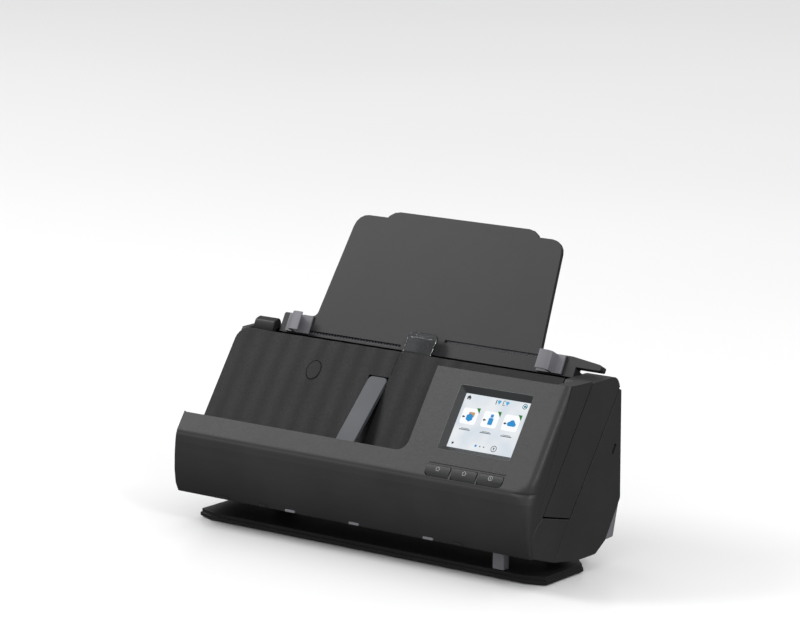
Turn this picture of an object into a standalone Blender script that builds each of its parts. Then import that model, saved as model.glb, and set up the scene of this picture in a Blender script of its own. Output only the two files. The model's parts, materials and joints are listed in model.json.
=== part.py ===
"""Sheet fed document scanner on a tilting stand, with an opening front cover and a folding input tray.

The casing leans back. Its side view is laid out in three sets of axes, all in the Y-Z plane:
  side(y, z)      straight axes, with y = 0 in the middle of the casing's depth and z = 0 on the desk
  slope(a, d)     a runs up the leaning faces and d stands out of them; d = 0 is the ribbed panel's face
  path(b, e)      b runs up the sheet of paper from the mouth, and e stands out in front of the sheet
Sizes are in millimetres and are turned to metres where the meshes are made.
"""

from math import atan2, cos, pi, radians, sin

import bmesh
import bpy
from mathutils import Matrix, Vector

MM = 0.001

# ---- driving dimensions, millimetres and degrees -------------------------------------------------
BODY_WIDTH = 296.0          # across the casing
BODY_DEPTH = 104.0          # front of the lower band to the rear wall
BODY_HEIGHT = 126.2         # desk to the top of the ribbed panel
LEAN = 35.0                 # of the front faces, back from upright
SHEET_LEAN = LEAN - 6.0     # of the sheet of paper, back from upright
SHEET_WIDTH = 210.0         # A4 portrait
CARD_WIDTH = 54.0           # narrowest item between the edge guides
WALL = 2.2                  # casing walls
GAP = 0.3                   # between pieces that touch
FRONT_STEP = 20.75          # ribbed panel to the front face, square to both
CASE_STEP = 29.6            # ribbed panel back to the rear housing's joint line
FOOT_A = 0.0                # lower end of the straight joint line, along the slope
LIP_A = 21.0                # top of the output pocket's lip
FACE_TOP_A = 83.0           # top of the display block
CREASE_A = 5.7              # fold between the lower band and the front face
CHEEK_WIDTH = 22.0          # side covers
POCKET_RIGHT = 42.0         # right side of the output pocket
POCKET_RADIUS = 8.0
OUTPUT_GAP = 7.6            # slot behind the display block
END_WALL = 11.0             # solid right end of the front cover
RIB_PITCH = 16.0
RIB_HEIGHT = 0.5
PANEL_THICKNESS = 2.3

# Display and buttons, on the front face
SCREEN = (70.0, 121.2, 30.2, 68.4)      # x from, x to, a from, a to
BEZEL_MARGIN = (4.6, 2.4, 3.7, 4.6)     # left, right, below, above the screen
BUTTON_X = (63.0, 84.0, 104.8)
BUTTON_SIZE = (19.0, 7.4)
BUTTON_A = 7.8
BUTTON_PLAY = 0.35
BUTTON_TRAVEL = 0.8

# Output pocket: the clear tab, the swinging stopper and the oval plug in the ribbed panel
TAB_X = (-9.0, 15.0)
TAB_A = (88.0, 113.0)
TAB_THICKNESS = 1.6
STOPPER_X = (-25.0, -9.5)
STOPPER_A = (24.0, 76.0)
STOPPER_SWING = 10.6
OVAL_CENTRE = (-72.0, 73.2)
OVAL_SIZE = (5.7, 7.0)

# Paper path
FEED_B, FEED_RADIUS = -30.0, 9.0
TRANSPORT_B, TRANSPORT_RADIUS = -54.0, 8.0
ROLLER_NIP = 0.5            # roller to the sheet
SHAFT_RADIUS = 2.5
SEPARATION_RADIUS = 3.6
PINCH_RADIUS = 3.0
DRUM_B, DRUM_RADIUS = -99.0, 9.0        # the roller that turns the sheet round
DRUM_CLEARANCE = 4.0
GUIDE_THICKNESS = 1.7
GUIDE_OFFSET = 1.4          # guide plates to the sheet

# Drive
MOTOR = (24.0, 56.0)
MOTOR_RADIUS = 14.0
PULLEY_RADIUS = {"feed": 7.0, "transport": 7.0, "motor": 5.0}
PULLEY_WIDTH = 7.0
BELT_THICKNESS = 1.4

# Stand
PLATE_THICKNESS = 5.0
FOOT_HEIGHT = 1.7
FOOT_PROUD = 1.0
FOOT_RADIUS = 6.0
PLATE_FRONT, PLATE_REAR = -32.5, 38.0
PLATE_CHAMFER = (14.0, 5.0)             # front corners: along x, along y
PLATE_REAR_CHAMFER = 24.0
PLATE_INSET = 2.5                       # plate narrower than the casing, each side
ARM_THICKNESS = 5.0
POST_WIDTH = 9.0
POST_FRONT, POST_BACK, POST_TOP = -31.5, -25.5, 21.5
TILT_Y, TILT_Z = 36.0, 32.0
PIN_RADIUS = 2.5

# Opening cover and tray
HINGE_Y, HINGE_Z, HINGE_SWEEP = -29.7, 29.8, 18.3
TRAY_PIVOT_Y, TRAY_PIVOT_Z = 46.0, BODY_HEIGHT - 7.2
TRAY_BAR_TOP = 15.0         # along the sheet, from the mouth
TRAY_LENGTH = 92.0
TRAY_HALF_WIDTH = 86.0
TRAY_DEPTH = 6.6
EXTENSION_PROUD = 6.0       # of the tray's top edge, pushed in
EXTENSION_HALF_WIDTH = 66.0
RACK_MODULE = 0.8
PINION_TEETH = 8
PINION_B = 7.6

# Levers
LEVER_Y = (25.0, 37.0)

HALF = BODY_WIDTH / 2
CHEEK_X = HALF - CHEEK_WIDTH            # inner face of the side covers
LEVER_X = (6.0 - HALF, 23.5 - HALF)
POSITION_LEVER_X = (HALF - 21.0, HALF - 1.2)
TRAY_LEFT, TRAY_RIGHT = -CHEEK_X + 4.5, HALF - 4.5
ARM_INNER = CHEEK_X - 14.0
POST_INNER = CHEEK_X - 20.5
CHASSIS_X = CHEEK_X - 4.0               # outer face of the chassis plates
CHASSIS_THICKNESS = 2.0
GUIDE_X = CHASSIS_X - CHASSIS_THICKNESS - 0.5
PULLEY_X = (CHASSIS_X + 2.0, CHASSIS_X + 2.0 + PULLEY_WIDTH)
TAB_BACK = -2 * GAP - PANEL_THICKNESS - 0.3 - TAB_THICKNESS
BAR_FRONT = -GUIDE_OFFSET               # the tray's face, behind the sheet
BAR_BACK = BAR_FRONT - TRAY_DEPTH
EXTENSION_BACK = BAR_FRONT - 5.6
RACK_PITCH = pi * RACK_MODULE
PINION_RADIUS = RACK_MODULE * PINION_TEETH / 2


# ---- the three sets of axes ----------------------------------------------------------------------
ANCHOR_Y, ANCHOR_Z = -36.3, 47.6        # slope(0, 0)
UP_Y, UP_Z = sin(radians(LEAN)), cos(radians(LEAN))


def slope(a, d):
    return ANCHOR_Y + a * UP_Y - d * UP_Z, ANCHOR_Z + a * UP_Z + d * UP_Y


def slope_at_height(z, d):
    """The point at height z on the plane that stands d in front of the ribbed panel."""
    return slope((z - ANCHOR_Z - d * UP_Y) / UP_Z, d)


PANEL_TOP_A = (BODY_HEIGHT - ANCHOR_Z) / UP_Z
MOUTH_Y, MOUTH_Z = slope_at_height(BODY_HEIGHT - 2.2, -9.1)
RISE_Y, RISE_Z = sin(radians(SHEET_LEAN)), cos(radians(SHEET_LEAN))


def path(b, e):
    return MOUTH_Y + b * RISE_Y - e * RISE_Z, MOUTH_Z + b * RISE_Z + e * RISE_Y


REAR_Y = BODY_DEPTH / 2                 # rear wall
TRAY_END = path(TRAY_LENGTH + EXTENSION_PROUD, EXTENSION_BACK)
ORIGIN_Y = (TRAY_END[0] - BODY_DEPTH / 2) / 2     # middle of the whole object, with the tray open

# Each frame maps a flat outline's x, y and thickness to the world.
SIDE = Matrix(((0, 0, 1), (1, 0, 0), (0, 1, 0))).to_4x4()
FLOOR = Matrix.Identity(4)
BACK = Matrix(((1, 0, 0), (0, 0, 1), (0, 1, 0))).to_4x4()


def face_frame(point, up_y, up_z):
    """Outline x is world X, outline y runs up the plane, and thickness stands out in front."""
    rows = ((1, 0, 0, 0), (0, up_y, -up_z, point[0] * MM), (0, up_z, up_y, point[1] * MM), (0, 0, 0, 1))
    return Matrix(rows)


def run_frame(point, up_y, up_z):
    """Outline x is world X, outline y stands out in front, and thickness runs down the plane."""
    rows = ((1, 0, 0, 0), (0, -up_z, -up_y, point[0] * MM), (0, up_y, -up_z, point[1] * MM), (0, 0, 0, 1))
    return Matrix(rows)


FACE = face_frame((ANCHOR_Y, ANCHOR_Z), UP_Y, UP_Z)
FACE_RUN = run_frame((ANCHOR_Y, ANCHOR_Z), UP_Y, UP_Z)
SHEET = face_frame((MOUTH_Y, MOUTH_Z), RISE_Y, RISE_Z)
SHEET_RUN = run_frame((MOUTH_Y, MOUTH_Z), RISE_Y, RISE_Z)
SHIFT = Matrix.Translation((0, -ORIGIN_Y * MM, 0))


# ---- scene, collections and materials ------------------------------------------------------------
for old in list(bpy.data.objects):
    bpy.data.objects.remove(old, do_unlink=True)

parts = bpy.data.collections.new("document_scanner")
cutters = bpy.data.collections.new("cutters")
cutters.hide_render = True
bpy.context.scene.collection.children.link(parts)
bpy.context.scene.collection.children.link(cutters)


def plastic(name, colour, roughness=0.5, metallic=0.0):
    made = bpy.data.materials.new(name)
    made.use_nodes = True
    shader = made.node_tree.nodes["Principled BSDF"]
    shader.inputs["Base Color"].default_value = (*colour, 1.0)
    shader.inputs["Roughness"].default_value = roughness
    shader.inputs["Metallic"].default_value = metallic
    made.diffuse_color = (*colour, 1.0)
    return made


CHARCOAL = plastic("charcoal_abs", (0.045, 0.045, 0.047), 0.5)
BLACK = plastic("black_abs", (0.022, 0.022, 0.024), 0.45)
GREY = plastic("grey_abs", (0.13, 0.13, 0.135), 0.45)
KEYS = plastic("key_abs", (0.05, 0.05, 0.053), 0.4)
SCREEN_GLASS = plastic("display_glass", (0.85, 0.87, 0.9), 0.15)
CLEAR = plastic("clear_plastic", (0.35, 0.36, 0.38), 0.15)
GLASS = plastic("scan_glass", (0.1, 0.13, 0.13), 0.05)
RUBBER = plastic("roller_rubber", (0.03, 0.03, 0.032), 0.8)
STEEL = plastic("shaft_steel", (0.5, 0.5, 0.5), 0.3, 1.0)
SHEET_METAL = plastic("zinc_plate", (0.45, 0.46, 0.48), 0.4, 1.0)
BOARD = plastic("circuit_board", (0.02, 0.12, 0.05), 0.5)
WHITE = plastic("white_acetal", (0.7, 0.7, 0.68), 0.4)


def empty(name, y, z, parent=None):
    """A body's own empty, on its joint's axis."""
    made = bpy.data.objects.new(name, None)
    made.empty_display_size = 0.02
    made.matrix_world = Matrix.Translation((0, (y - ORIGIN_Y) * MM, z * MM))
    parts.objects.link(made)
    if parent:
        hang(made, parent)
    return made


def hang(piece, parent):
    bpy.context.view_layer.update()
    piece.parent = parent
    piece.matrix_parent_inverse = parent.matrix_world.inverted()


# ---- shapes --------------------------------------------------------------------------------------
def arc(centre, radius, start, end, steps):
    """Points on a circle, angles in degrees."""
    angles = [radians(start + (end - start) * i / steps) for i in range(steps + 1)]
    return [(centre[0] + radius * cos(t), centre[1] + radius * sin(t)) for t in angles]


def rounded(points, radii, steps=4):
    """The outline with corner i rounded to radii[i]; 0 keeps it sharp."""
    result = []
    for i, here in enumerate(points):
        if not radii[i]:
            result.append(here)
            continue
        corner = Vector(here)
        before = (Vector(points[i - 1]) - corner).normalized()
        after = (Vector(points[(i + 1) % len(points)]) - corner).normalized()
        half = before.angle(after) / 2
        centre = corner + (before + after).normalized() * radii[i] / sin(half)
        reach = radii[i] * cos(half) / sin(half)
        first = corner + before * reach - centre
        last = corner + after * reach - centre
        start = atan2(first.y, first.x)
        turn = (atan2(last.y, last.x) - start + pi) % (2 * pi) - pi
        for k in range(steps + 1):
            t = start + turn * k / steps
            result.append((centre.x + radii[i] * cos(t), centre.y + radii[i] * sin(t)))
    return result


def box(x0, x1, y0, y1):
    return [(x0, y0), (x1, y0), (x1, y1), (x0, y1)]


def extrude(name, outlines, low, high, frame, collection=parts):
    """A flat outline, with any holes, given the thickness from low to high along the frame's third axis."""
    curve = bpy.data.curves.new(name, "CURVE")
    curve.dimensions = "2D"
    curve.fill_mode = "BOTH"
    curve.extrude = (high - low) / 2 * MM
    if not isinstance(outlines[0], list):
        outlines = [outlines]
    for outline in outlines:
        spline = curve.splines.new("POLY")
        spline.points.add(len(outline) - 1)
        for point, (x, y) in zip(spline.points, outline):
            point.co = (x * MM, y * MM, 0, 1)
        spline.use_cyclic_u = True
    drawn = bpy.data.objects.new(name + "_outline", curve)
    collection.objects.link(drawn)
    graph = bpy.context.evaluated_depsgraph_get()
    mesh = bpy.data.meshes.new_from_object(drawn.evaluated_get(graph))
    mesh.name = name
    bpy.data.objects.remove(drawn)
    weld(mesh)
    made = bpy.data.objects.new(name, mesh)
    made.matrix_world = SHIFT @ frame @ Matrix.Translation((0, 0, (low + high) / 2 * MM))
    collection.objects.link(made)
    return made


def weld(mesh):
    cage = bmesh.new()
    cage.from_mesh(mesh)
    bmesh.ops.remove_doubles(cage, verts=cage.verts, dist=1e-6)
    bmesh.ops.recalc_face_normals(cage, faces=cage.faces)
    cage.to_mesh(mesh)
    cage.free()


def cylinder(name, x0, x1, centre, radius, sides=24, collection=parts):
    """A round bar along X."""
    cage = bmesh.new()
    bmesh.ops.create_cone(
        cage,
        cap_ends=True,
        segments=sides,
        radius1=radius * MM,
        radius2=radius * MM,
        depth=(x1 - x0) * MM,
        matrix=Matrix.Rotation(pi / 2, 4, "Y"),
    )
    mesh = bpy.data.meshes.new(name)
    cage.to_mesh(mesh)
    cage.free()
    made = bpy.data.objects.new(name, mesh)
    made.matrix_world = Matrix.Translation(((x0 + x1) / 2 * MM, (centre[0] - ORIGIN_Y) * MM, centre[1] * MM))
    collection.objects.link(made)
    return made


def finish(piece, body, material, bevel=0.0):
    """Gives the piece its material and hangs it on its body's empty."""
    piece.data.materials.clear()
    piece.data.materials.append(material)
    if bevel:
        edge = piece.modifiers.new("edges", "BEVEL")
        edge.width = bevel * MM
        edge.segments = 1
        edge.limit_method = "ANGLE"
        edge.angle_limit = radians(50)
    piece.data.shade_smooth()
    piece.data.set_sharp_from_angle(angle=radians(30))
    hang(piece, body)
    return piece


def boolean(piece, tool, operation="DIFFERENCE"):
    tool.hide_render = True
    tool.display_type = "WIRE"
    step = piece.modifiers.new(tool.name, "BOOLEAN")
    step.operation = operation
    step.object = tool
    return piece


def use_manifold_solver(piece):
    """For the pieces whose long runs of flush faces the EXACT solver leaves open."""
    for step in piece.modifiers:
        if step.type == "BOOLEAN":
            step.solver = "MANIFOLD"


def cut(piece, label, outline, low, high, frame):
    return boolean(piece, extrude(f"{piece.name}_{label}", outline, low, high, frame, cutters))


def join(piece, label, outline, low, high, frame):
    return boolean(piece, extrude(f"{piece.name}_{label}", outline, low, high, frame, cutters), "UNION")


def bore(piece, label, x0, x1, centre, radius, sides=24):
    return boolean(piece, cylinder(f"{piece.name}_{label}", x0, x1, centre, radius, sides, cutters))


def ring(name, x0, x1, centre, outer, inner, sides=24):
    """A round sleeve along X."""
    turn = Matrix.Translation((0, centre[0] * MM, centre[1] * MM)) @ SIDE
    outlines = [arc((0, 0), outer, 0, 360 - 360 / sides, sides - 1), arc((0, 0), inner, 0, 360 - 360 / sides, sides - 1)]
    return extrude(name, outlines, x0, x1, turn)


def mirrored(low, high, side):
    """The range from low to high on the right side, or its mirror image on the left."""
    return (low, high) if side > 0 else (-high, -low)


SIDES = (("left", -1), ("right", 1))

# ---- bodies --------------------------------------------------------------------------------------
whole = empty("scanner_origin", ORIGIN_Y, 0)
stand = empty("stand", 0, 0, whole)
casing = empty("casing", TILT_Y, TILT_Z, stand)
cover = empty("cover", HINGE_Y, HINGE_Z, casing)
tray = empty("tray", TRAY_PIVOT_Y, TRAY_PIVOT_Z, casing)

FEED = path(FEED_B, -FEED_RADIUS - ROLLER_NIP)
TRANSPORT = path(TRANSPORT_B, -TRANSPORT_RADIUS - ROLLER_NIP)
SEPARATION = path(FEED_B, SEPARATION_RADIUS + ROLLER_NIP)
PINCH = path(TRANSPORT_B, PINCH_RADIUS + ROLLER_NIP)
DRUM = path(DRUM_B, DRUM_RADIUS + ROLLER_NIP)


# ---- stand ---------------------------------------------------------------------------------------
def make_stand():
    edge = HALF - PLATE_INSET
    along, back = PLATE_CHAMFER
    half_outline = [
        (edge - along, PLATE_FRONT),
        (edge, PLATE_FRONT + back),
        (edge, PLATE_REAR - PLATE_REAR_CHAMFER),
        (edge - PLATE_REAR_CHAMFER, PLATE_REAR),
    ]
    outline = half_outline + [(-x, y) for x, y in reversed(half_outline)]
    low, high = FOOT_PROUD, FOOT_PROUD + PLATE_THICKNESS
    plate = extrude("stand_plate", outline, low, high, FLOOR)
    places = [(-edge + 18, PLATE_FRONT + 11), (edge - 18, PLATE_FRONT + 11)]
    places += [(-edge + 32, PLATE_REAR - 11), (edge - 32, PLATE_REAR - 11)]
    names = ("front_left", "front_right", "rear_left", "rear_right")
    for name, (x, y) in zip(names, places):
        socket = arc((x, y), FOOT_RADIUS + GAP, 0, 337.5, 15)
        cut(plate, f"socket_{name}", socket, -1, FOOT_HEIGHT + GAP, FLOOR)
        foot = extrude(f"foot_{name}", arc((x, y), FOOT_RADIUS, 0, 337.5, 15), 0, FOOT_HEIGHT, FLOOR)
        finish(foot, stand, RUBBER)
    finish(plate, stand, BLACK, bevel=1.2)

    top = high + GAP
    for name, sign in SIDES:
        x0, x1 = mirrored(ARM_INNER, ARM_INNER + ARM_THICKNESS, sign)
        rise = arc((TILT_Y, TILT_Z), PIN_RADIUS + 2.6, -10, 170, 8)
        arm = extrude(f"stand_arm_{name}", [(TILT_Y - 18, top), (TILT_Y - 0.5, top)] + rise, x0, x1, SIDE)
        bore(arm, "hole", x0 - 1, x1 + 1, (TILT_Y, TILT_Z), PIN_RADIUS + GAP, 16)
        finish(arm, stand, GREY)
        x0, x1 = mirrored(ARM_INNER - 1.5, CHASSIS_X + 1.5, sign)
        finish(cylinder(f"tilt_pin_{name}", x0, x1, (TILT_Y, TILT_Z), PIN_RADIUS, 16), stand, STEEL)
    post = rounded(box(POST_FRONT, POST_BACK, top, POST_TOP), (0, 0, 2.5, 2.5), 3)
    finish(extrude("front_post", post, POST_INNER, POST_INNER + POST_WIDTH, SIDE), stand, GREY)


# ---- casing --------------------------------------------------------------------------------------
LINE_TOP = (REAR_Y - 0.9, BODY_HEIGHT - 8.4)
LINE_FOOT = (-23.7, 15.3)
CROSS_FRONT = slope(FOOT_A, 0)
CROSS_REAR = (-5.8, 40.2)


def on_line(t, step):
    """A point on the rear joint line, t of the way up, moved back by step."""
    y = LINE_FOOT[0] + (LINE_TOP[0] - LINE_FOOT[0]) * t
    z = LINE_FOOT[1] + (LINE_TOP[1] - LINE_FOOT[1]) * t
    return y + step, z


def cross_line(d, lift):
    """The point d in front of the ribbed panel, lifted up the slope from the joint under a side cover."""
    rear_d = -(CROSS_REAR[0] - ANCHOR_Y) * UP_Z + (CROSS_REAR[1] - ANCHOR_Z) * UP_Y
    t = d / rear_d
    y = CROSS_FRONT[0] + (CROSS_REAR[0] - CROSS_FRONT[0]) * t
    z = CROSS_FRONT[1] + (CROSS_REAR[1] - CROSS_FRONT[1]) * t
    return y + lift * UP_Y, z + lift * UP_Z


def make_housings():
    outer = [
        on_line(0.0, GAP),
        (4.0, 11.0),
        (24.0, 11.0),
        (34.8, 17.6),
        (REAR_Y, 43.0),
        (REAR_Y, LINE_TOP[1] - 2.5),
        on_line(0.985, GAP),
    ]
    outer = rounded(outer, (0, 0, 6, 3, 3, 0, 0), 3)
    rear = extrude("rear_housing", outer, -HALF, HALF, SIDE)
    inner = [
        on_line(-0.02, -4.0),
        (-21.0, 15.3 + WALL),
        (4.0, 11.0 + WALL),
        (23.2, 11.0 + WALL),
        (33.2, 19.0),
        (REAR_Y - WALL, 44.0),
        (REAR_Y - WALL, LINE_TOP[1] - 5.5),
        on_line(0.93, -4.0),
    ]
    cut(rear, "hollow", inner, -HALF + WALL, HALF - WALL, SIDE)
    for name, sign in SIDES:
        x0, x1 = mirrored(ARM_INNER - 2.0, ARM_INNER + ARM_THICKNESS + 1.0, sign)
        cut(rear, f"arm_notch_{name}", box(TILT_Y - 24, REAR_Y + 4, 5, TILT_Z + 11), x0, x1, SIDE)
        x0, x1 = mirrored(GUIDE_X - 5.6, GUIDE_X + 0.2, sign)
        tray_notch = box(REAR_Y - 6, REAR_Y + 3, TRAY_PIVOT_Z - 7.5, TRAY_PIVOT_Z + 3)
        cut(rear, f"tray_notch_{name}", tray_notch, x0, x1, SIDE)
    slot_low, slot_high = (41.4, 74.6), (45.0, 81.0)
    slot = rounded(
        [slot_low, (slot_low[0] + 2.4, slot_low[1] - 1.3), (slot_high[0] + 2.4, slot_high[1] - 1.3), slot_high],
        (1.0,) * 4,
        2,
    )
    cut(rear, "security_slot", slot, HALF - 5, HALF + 5, SIDE)
    cut(rear, "power_hole", box(-104, -93, 48, 60), REAR_Y - 5, REAR_Y + 5, BACK)
    cut(rear, "usb_hole", box(-84, -71, 48, 60), REAR_Y - 5, REAR_Y + 5, BACK)
    finish(rear, casing, CHARCOAL)

    arc_low = arc((HINGE_Y, HINGE_Z), HINGE_SWEEP - GAP, 112, 204, 8)
    lower = [LINE_FOOT, CROSS_REAR] + [(CROSS_FRONT[0] + GAP, CROSS_FRONT[1] - GAP)] + arc_low
    bottom = extrude("bottom_housing", lower, -HALF, HALF, SIDE)
    room = [
        (LINE_FOOT[0] + 8, LINE_FOOT[1] + WALL - 1.6),
        (LINE_FOOT[0] + 0.5, LINE_FOOT[1] + WALL + 0.1),
        (-44.2, 22.5 + WALL),
        (-60, 22.5 + WALL),
        (-60, 60),
        (20, 60),
        (20, LINE_FOOT[1] + WALL - 1.6),
    ]
    cut(bottom, "middle", room, -CHEEK_X, CHEEK_X, SIDE)
    post_hole = box(POST_FRONT - 1.7, POST_BACK + 4.0, 5, 30)
    cut(bottom, "post_hole", post_hole, POST_INNER - 2.5, POST_INNER + POST_WIDTH + 2.0, SIDE)
    cut(bottom, "exit", box(-37.5, -26.0, 5, 27), -GUIDE_X + 17, GUIDE_X - 17, SIDE)
    finish(bottom, casing, CHARCOAL)

    for name, sign in SIDES:
        front = -PANEL_THICKNESS - 2 * GAP if sign < 0 else -GAP
        top = slope_at_height(BODY_HEIGHT - 0.2, front)
        shape = [
            cross_line(front, 2 * GAP),
            (CROSS_REAR[0], CROSS_REAR[1] + GAP),
            (LINE_TOP[0], LINE_TOP[1]),
            (LINE_TOP[0] - 3.2, BODY_HEIGHT - 0.2),
            top,
        ]
        x0, x1 = mirrored(CHEEK_X + GAP, HALF, sign)
        cheek = extrude(f"side_cover_{name}", rounded(shape, (0, 0, 0.8, 8, 1.2), 4), x0, x1, SIDE)
        inner = [
            slope(4, front - WALL),
            (CROSS_REAR[0] + 6.0, CROSS_REAR[1] + WALL + 1.5),
            (LINE_TOP[0] + 4.0, LINE_TOP[1] - 6.0),
            (LINE_TOP[0] - 8.0, BODY_HEIGHT - 0.2 - WALL - 0.6),
            slope_at_height(BODY_HEIGHT - 0.2 - WALL, front - WALL),
        ]
        x0, x1 = mirrored(CHEEK_X - 5, HALF - WALL, sign)
        cut(cheek, "hollow", inner, x0, x1, SIDE)
        if sign < 0:
            well = box(LEVER_X[0] - 0.8, LEVER_X[1] + 0.8, LEVER_Y[0] - 3.0, LEVER_Y[1] + 2.5)
            cut(cheek, "lever_well", well, BODY_HEIGHT - 8, BODY_HEIGHT + 5, FLOOR)
        finish(cheek, casing, CHARCOAL)


def make_chassis():
    plates = [
        path(-5.5, -2.6),
        path(-112, -2.6),
        (LINE_FOOT[0] + 4.5, LINE_FOOT[1] + 6),
        (26, 19.5),
        (TILT_Y + 1.5, TILT_Z - 6.0),
        (TILT_Y + 6.0, TILT_Z + 2.0),
        (REAR_Y - 8, TILT_Z + 22),
        (REAR_Y - 8, LINE_TOP[1] - 11),
        on_line(0.95, -0.6),
        (TRAY_PIVOT_Y + 2.9, TRAY_PIVOT_Z),
        (TRAY_PIVOT_Y + 2.6, TRAY_PIVOT_Z + 3.2),
        (TRAY_PIVOT_Y - 3.5, TRAY_PIVOT_Z + 3.8),
    ]
    frame = extrude("chassis", plates, -CHASSIS_X, -CHASSIS_X + CHASSIS_THICKNESS, SIDE)
    join(frame, "right_plate", plates, CHASSIS_X - CHASSIS_THICKNESS, CHASSIS_X, SIDE)
    for label, (y, z) in (("low_beam", (3, 22.0)), ("high_beam", (38, BODY_HEIGHT - 25.2))):
        reach = CHASSIS_X - CHASSIS_THICKNESS / 2
        join(frame, label, box(y, y + 8, z, z + 1.6), -reach, reach, SIDE)
    for label, centre, radius in (
        ("feed", FEED, SHAFT_RADIUS + GAP),
        ("transport", TRANSPORT, SHAFT_RADIUS + GAP),
        ("tilt", (TILT_Y, TILT_Z), PIN_RADIUS + GAP),
        ("tray", (TRAY_PIVOT_Y, TRAY_PIVOT_Z), 2.0 + GAP),
        ("motor", MOTOR, SHAFT_RADIUS + 1.5),
    ):
        bore(frame, f"{label}_hole", -CHASSIS_X - 3, CHASSIS_X + 3, centre, radius, 16)
    finish(frame, casing, SHEET_METAL)


def window(x0, x1, centre_b, half):
    return box(x0, x1, centre_b - half, centre_b + half)


def make_rear_path():
    back, front = -GUIDE_OFFSET - GUIDE_THICKNESS, -GUIDE_OFFSET
    outlines = [
        box(-GUIDE_X, GUIDE_X, -106, -4),
        window(-27, 27, FEED_B, FEED_RADIUS * 0.95),
        window(-86, -58, TRANSPORT_B, TRANSPORT_RADIUS * 0.95),
        window(58, 86, TRANSPORT_B, TRANSPORT_RADIUS * 0.95),
        window(-110, 110, -84, 6),
    ]
    finish(extrude("rear_paper_guide", outlines, back, front, SHEET), casing, BLACK)
    sensor = extrude("rear_image_sensor", box(-113, 113, -93, -75), -17, back - GAP, SHEET)
    finish(sensor, casing, BLACK)
    finish(extrude("rear_scan_glass", box(-109, 109, -89.5, -78.5), back, front - GAP, SHEET), casing, GLASS)

    rear_end = REAR_Y - WALL - 1
    bridge = [path(-5.0, -3.6), path(-6.9, -3.6), (rear_end, LINE_TOP[1] - 14.8), (rear_end, LINE_TOP[1] - 13)]
    finish(extrude("top_bridge", bridge, -GUIDE_X, GUIDE_X, SIDE), casing, BLACK)


def make_drive():
    feed_body = empty("feed_roller_axis", *FEED, casing)
    transport_body = empty("transport_roller_axis", *TRANSPORT, casing)
    motor_body = empty("motor_axis", *MOTOR, casing)
    for name, centre, radius, body, tyres in (
        ("feed", FEED, FEED_RADIUS, feed_body, (("left", -24, -2), ("right", 2, 24))),
        ("transport", TRANSPORT, TRANSPORT_RADIUS, transport_body, (("left", -83, -61), ("right", 61, 83))),
    ):
        shaft = cylinder(f"{name}_shaft", -CHASSIS_X - 1.5, PULLEY_X[1] + 1, centre, SHAFT_RADIUS, 16)
        finish(shaft, body, STEEL)
        for side, x0, x1 in tyres:
            tyre = ring(f"{name}_tyre_{side}", x0, x1, centre, radius, SHAFT_RADIUS + GAP)
            finish(tyre, body, RUBBER)
        pulley = ring(f"{name}_pulley", *PULLEY_X, centre, PULLEY_RADIUS[name], SHAFT_RADIUS + GAP, 20)
        finish(pulley, body, WHITE)

    motor = cylinder("feed_motor", CHASSIS_X - 38, CHASSIS_X - 3, MOTOR, MOTOR_RADIUS, 28)
    bore(motor, "bearing", CHASSIS_X - 8, CHASSIS_X - 2, MOTOR, SHAFT_RADIUS + GAP, 16)
    finish(motor, casing, SHEET_METAL)
    pulley = cylinder("motor_pulley", *PULLEY_X, MOTOR, PULLEY_RADIUS["motor"], 20)
    spindle = cylinder("motor_pulley_spindle", CHASSIS_X - 7, PULLEY_X[0] + 2, MOTOR, SHAFT_RADIUS, 16, cutters)
    finish(boolean(pulley, spindle, "UNION"), motor_body, STEEL)

    centres = [(FEED, "feed"), (TRANSPORT, "transport"), (MOTOR, "motor")]
    inside = belt_loop(centres, GAP)
    outside = belt_loop(centres, GAP + BELT_THICKNESS)
    belt = extrude("drive_belt", [outside, inside], PULLEY_X[0] + 0.8, PULLEY_X[1] - 0.8, SIDE)
    finish(belt, casing, RUBBER)


def belt_loop(centres, extra, steps=10):
    """The loop round three pulleys, extra outside them: the hull of the three circles."""
    cloud = []
    for (y, z), name in centres:
        cloud += arc((y, z), PULLEY_RADIUS[name] + extra, 0, 360 - 360 / (4 * steps), 4 * steps - 1)
    cloud = sorted(set(cloud))

    def chain(points):
        run = []
        for p in points:
            while len(run) > 1 and (
                (run[-1][0] - run[-2][0]) * (p[1] - run[-2][1]) <= (run[-1][1] - run[-2][1]) * (p[0] - run[-2][0])
            ):
                run.pop()
            run.append(p)
        return run[:-1]

    return chain(cloud) + chain(list(reversed(cloud)))


def make_electrics():
    board = extrude("main_board", box(-104, 40, 41, 98), REAR_Y - 9.2, REAR_Y - 7.6, BACK)
    finish(board, casing, BOARD)
    jack = extrude("dc_jack", box(-103, -94, 49, 59), REAR_Y - 7.3, REAR_Y - 0.6, BACK)
    socket = arc((-98.5, 54), 3.2, 0, 337.5, 15)
    cut(jack, "socket", socket, REAR_Y - 5.5, REAR_Y + 2, BACK)
    finish(jack, casing, BLACK)
    port = extrude("usb_port", box(-83.4, -71.6, 48.6, 59.4), REAR_Y - 7.3, REAR_Y - 0.6, BACK)
    cut(port, "socket", box(-81.6, -73.4, 50.2, 57.8), REAR_Y - 5.5, REAR_Y + 2, BACK)
    finish(port, casing, STEEL)


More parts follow.
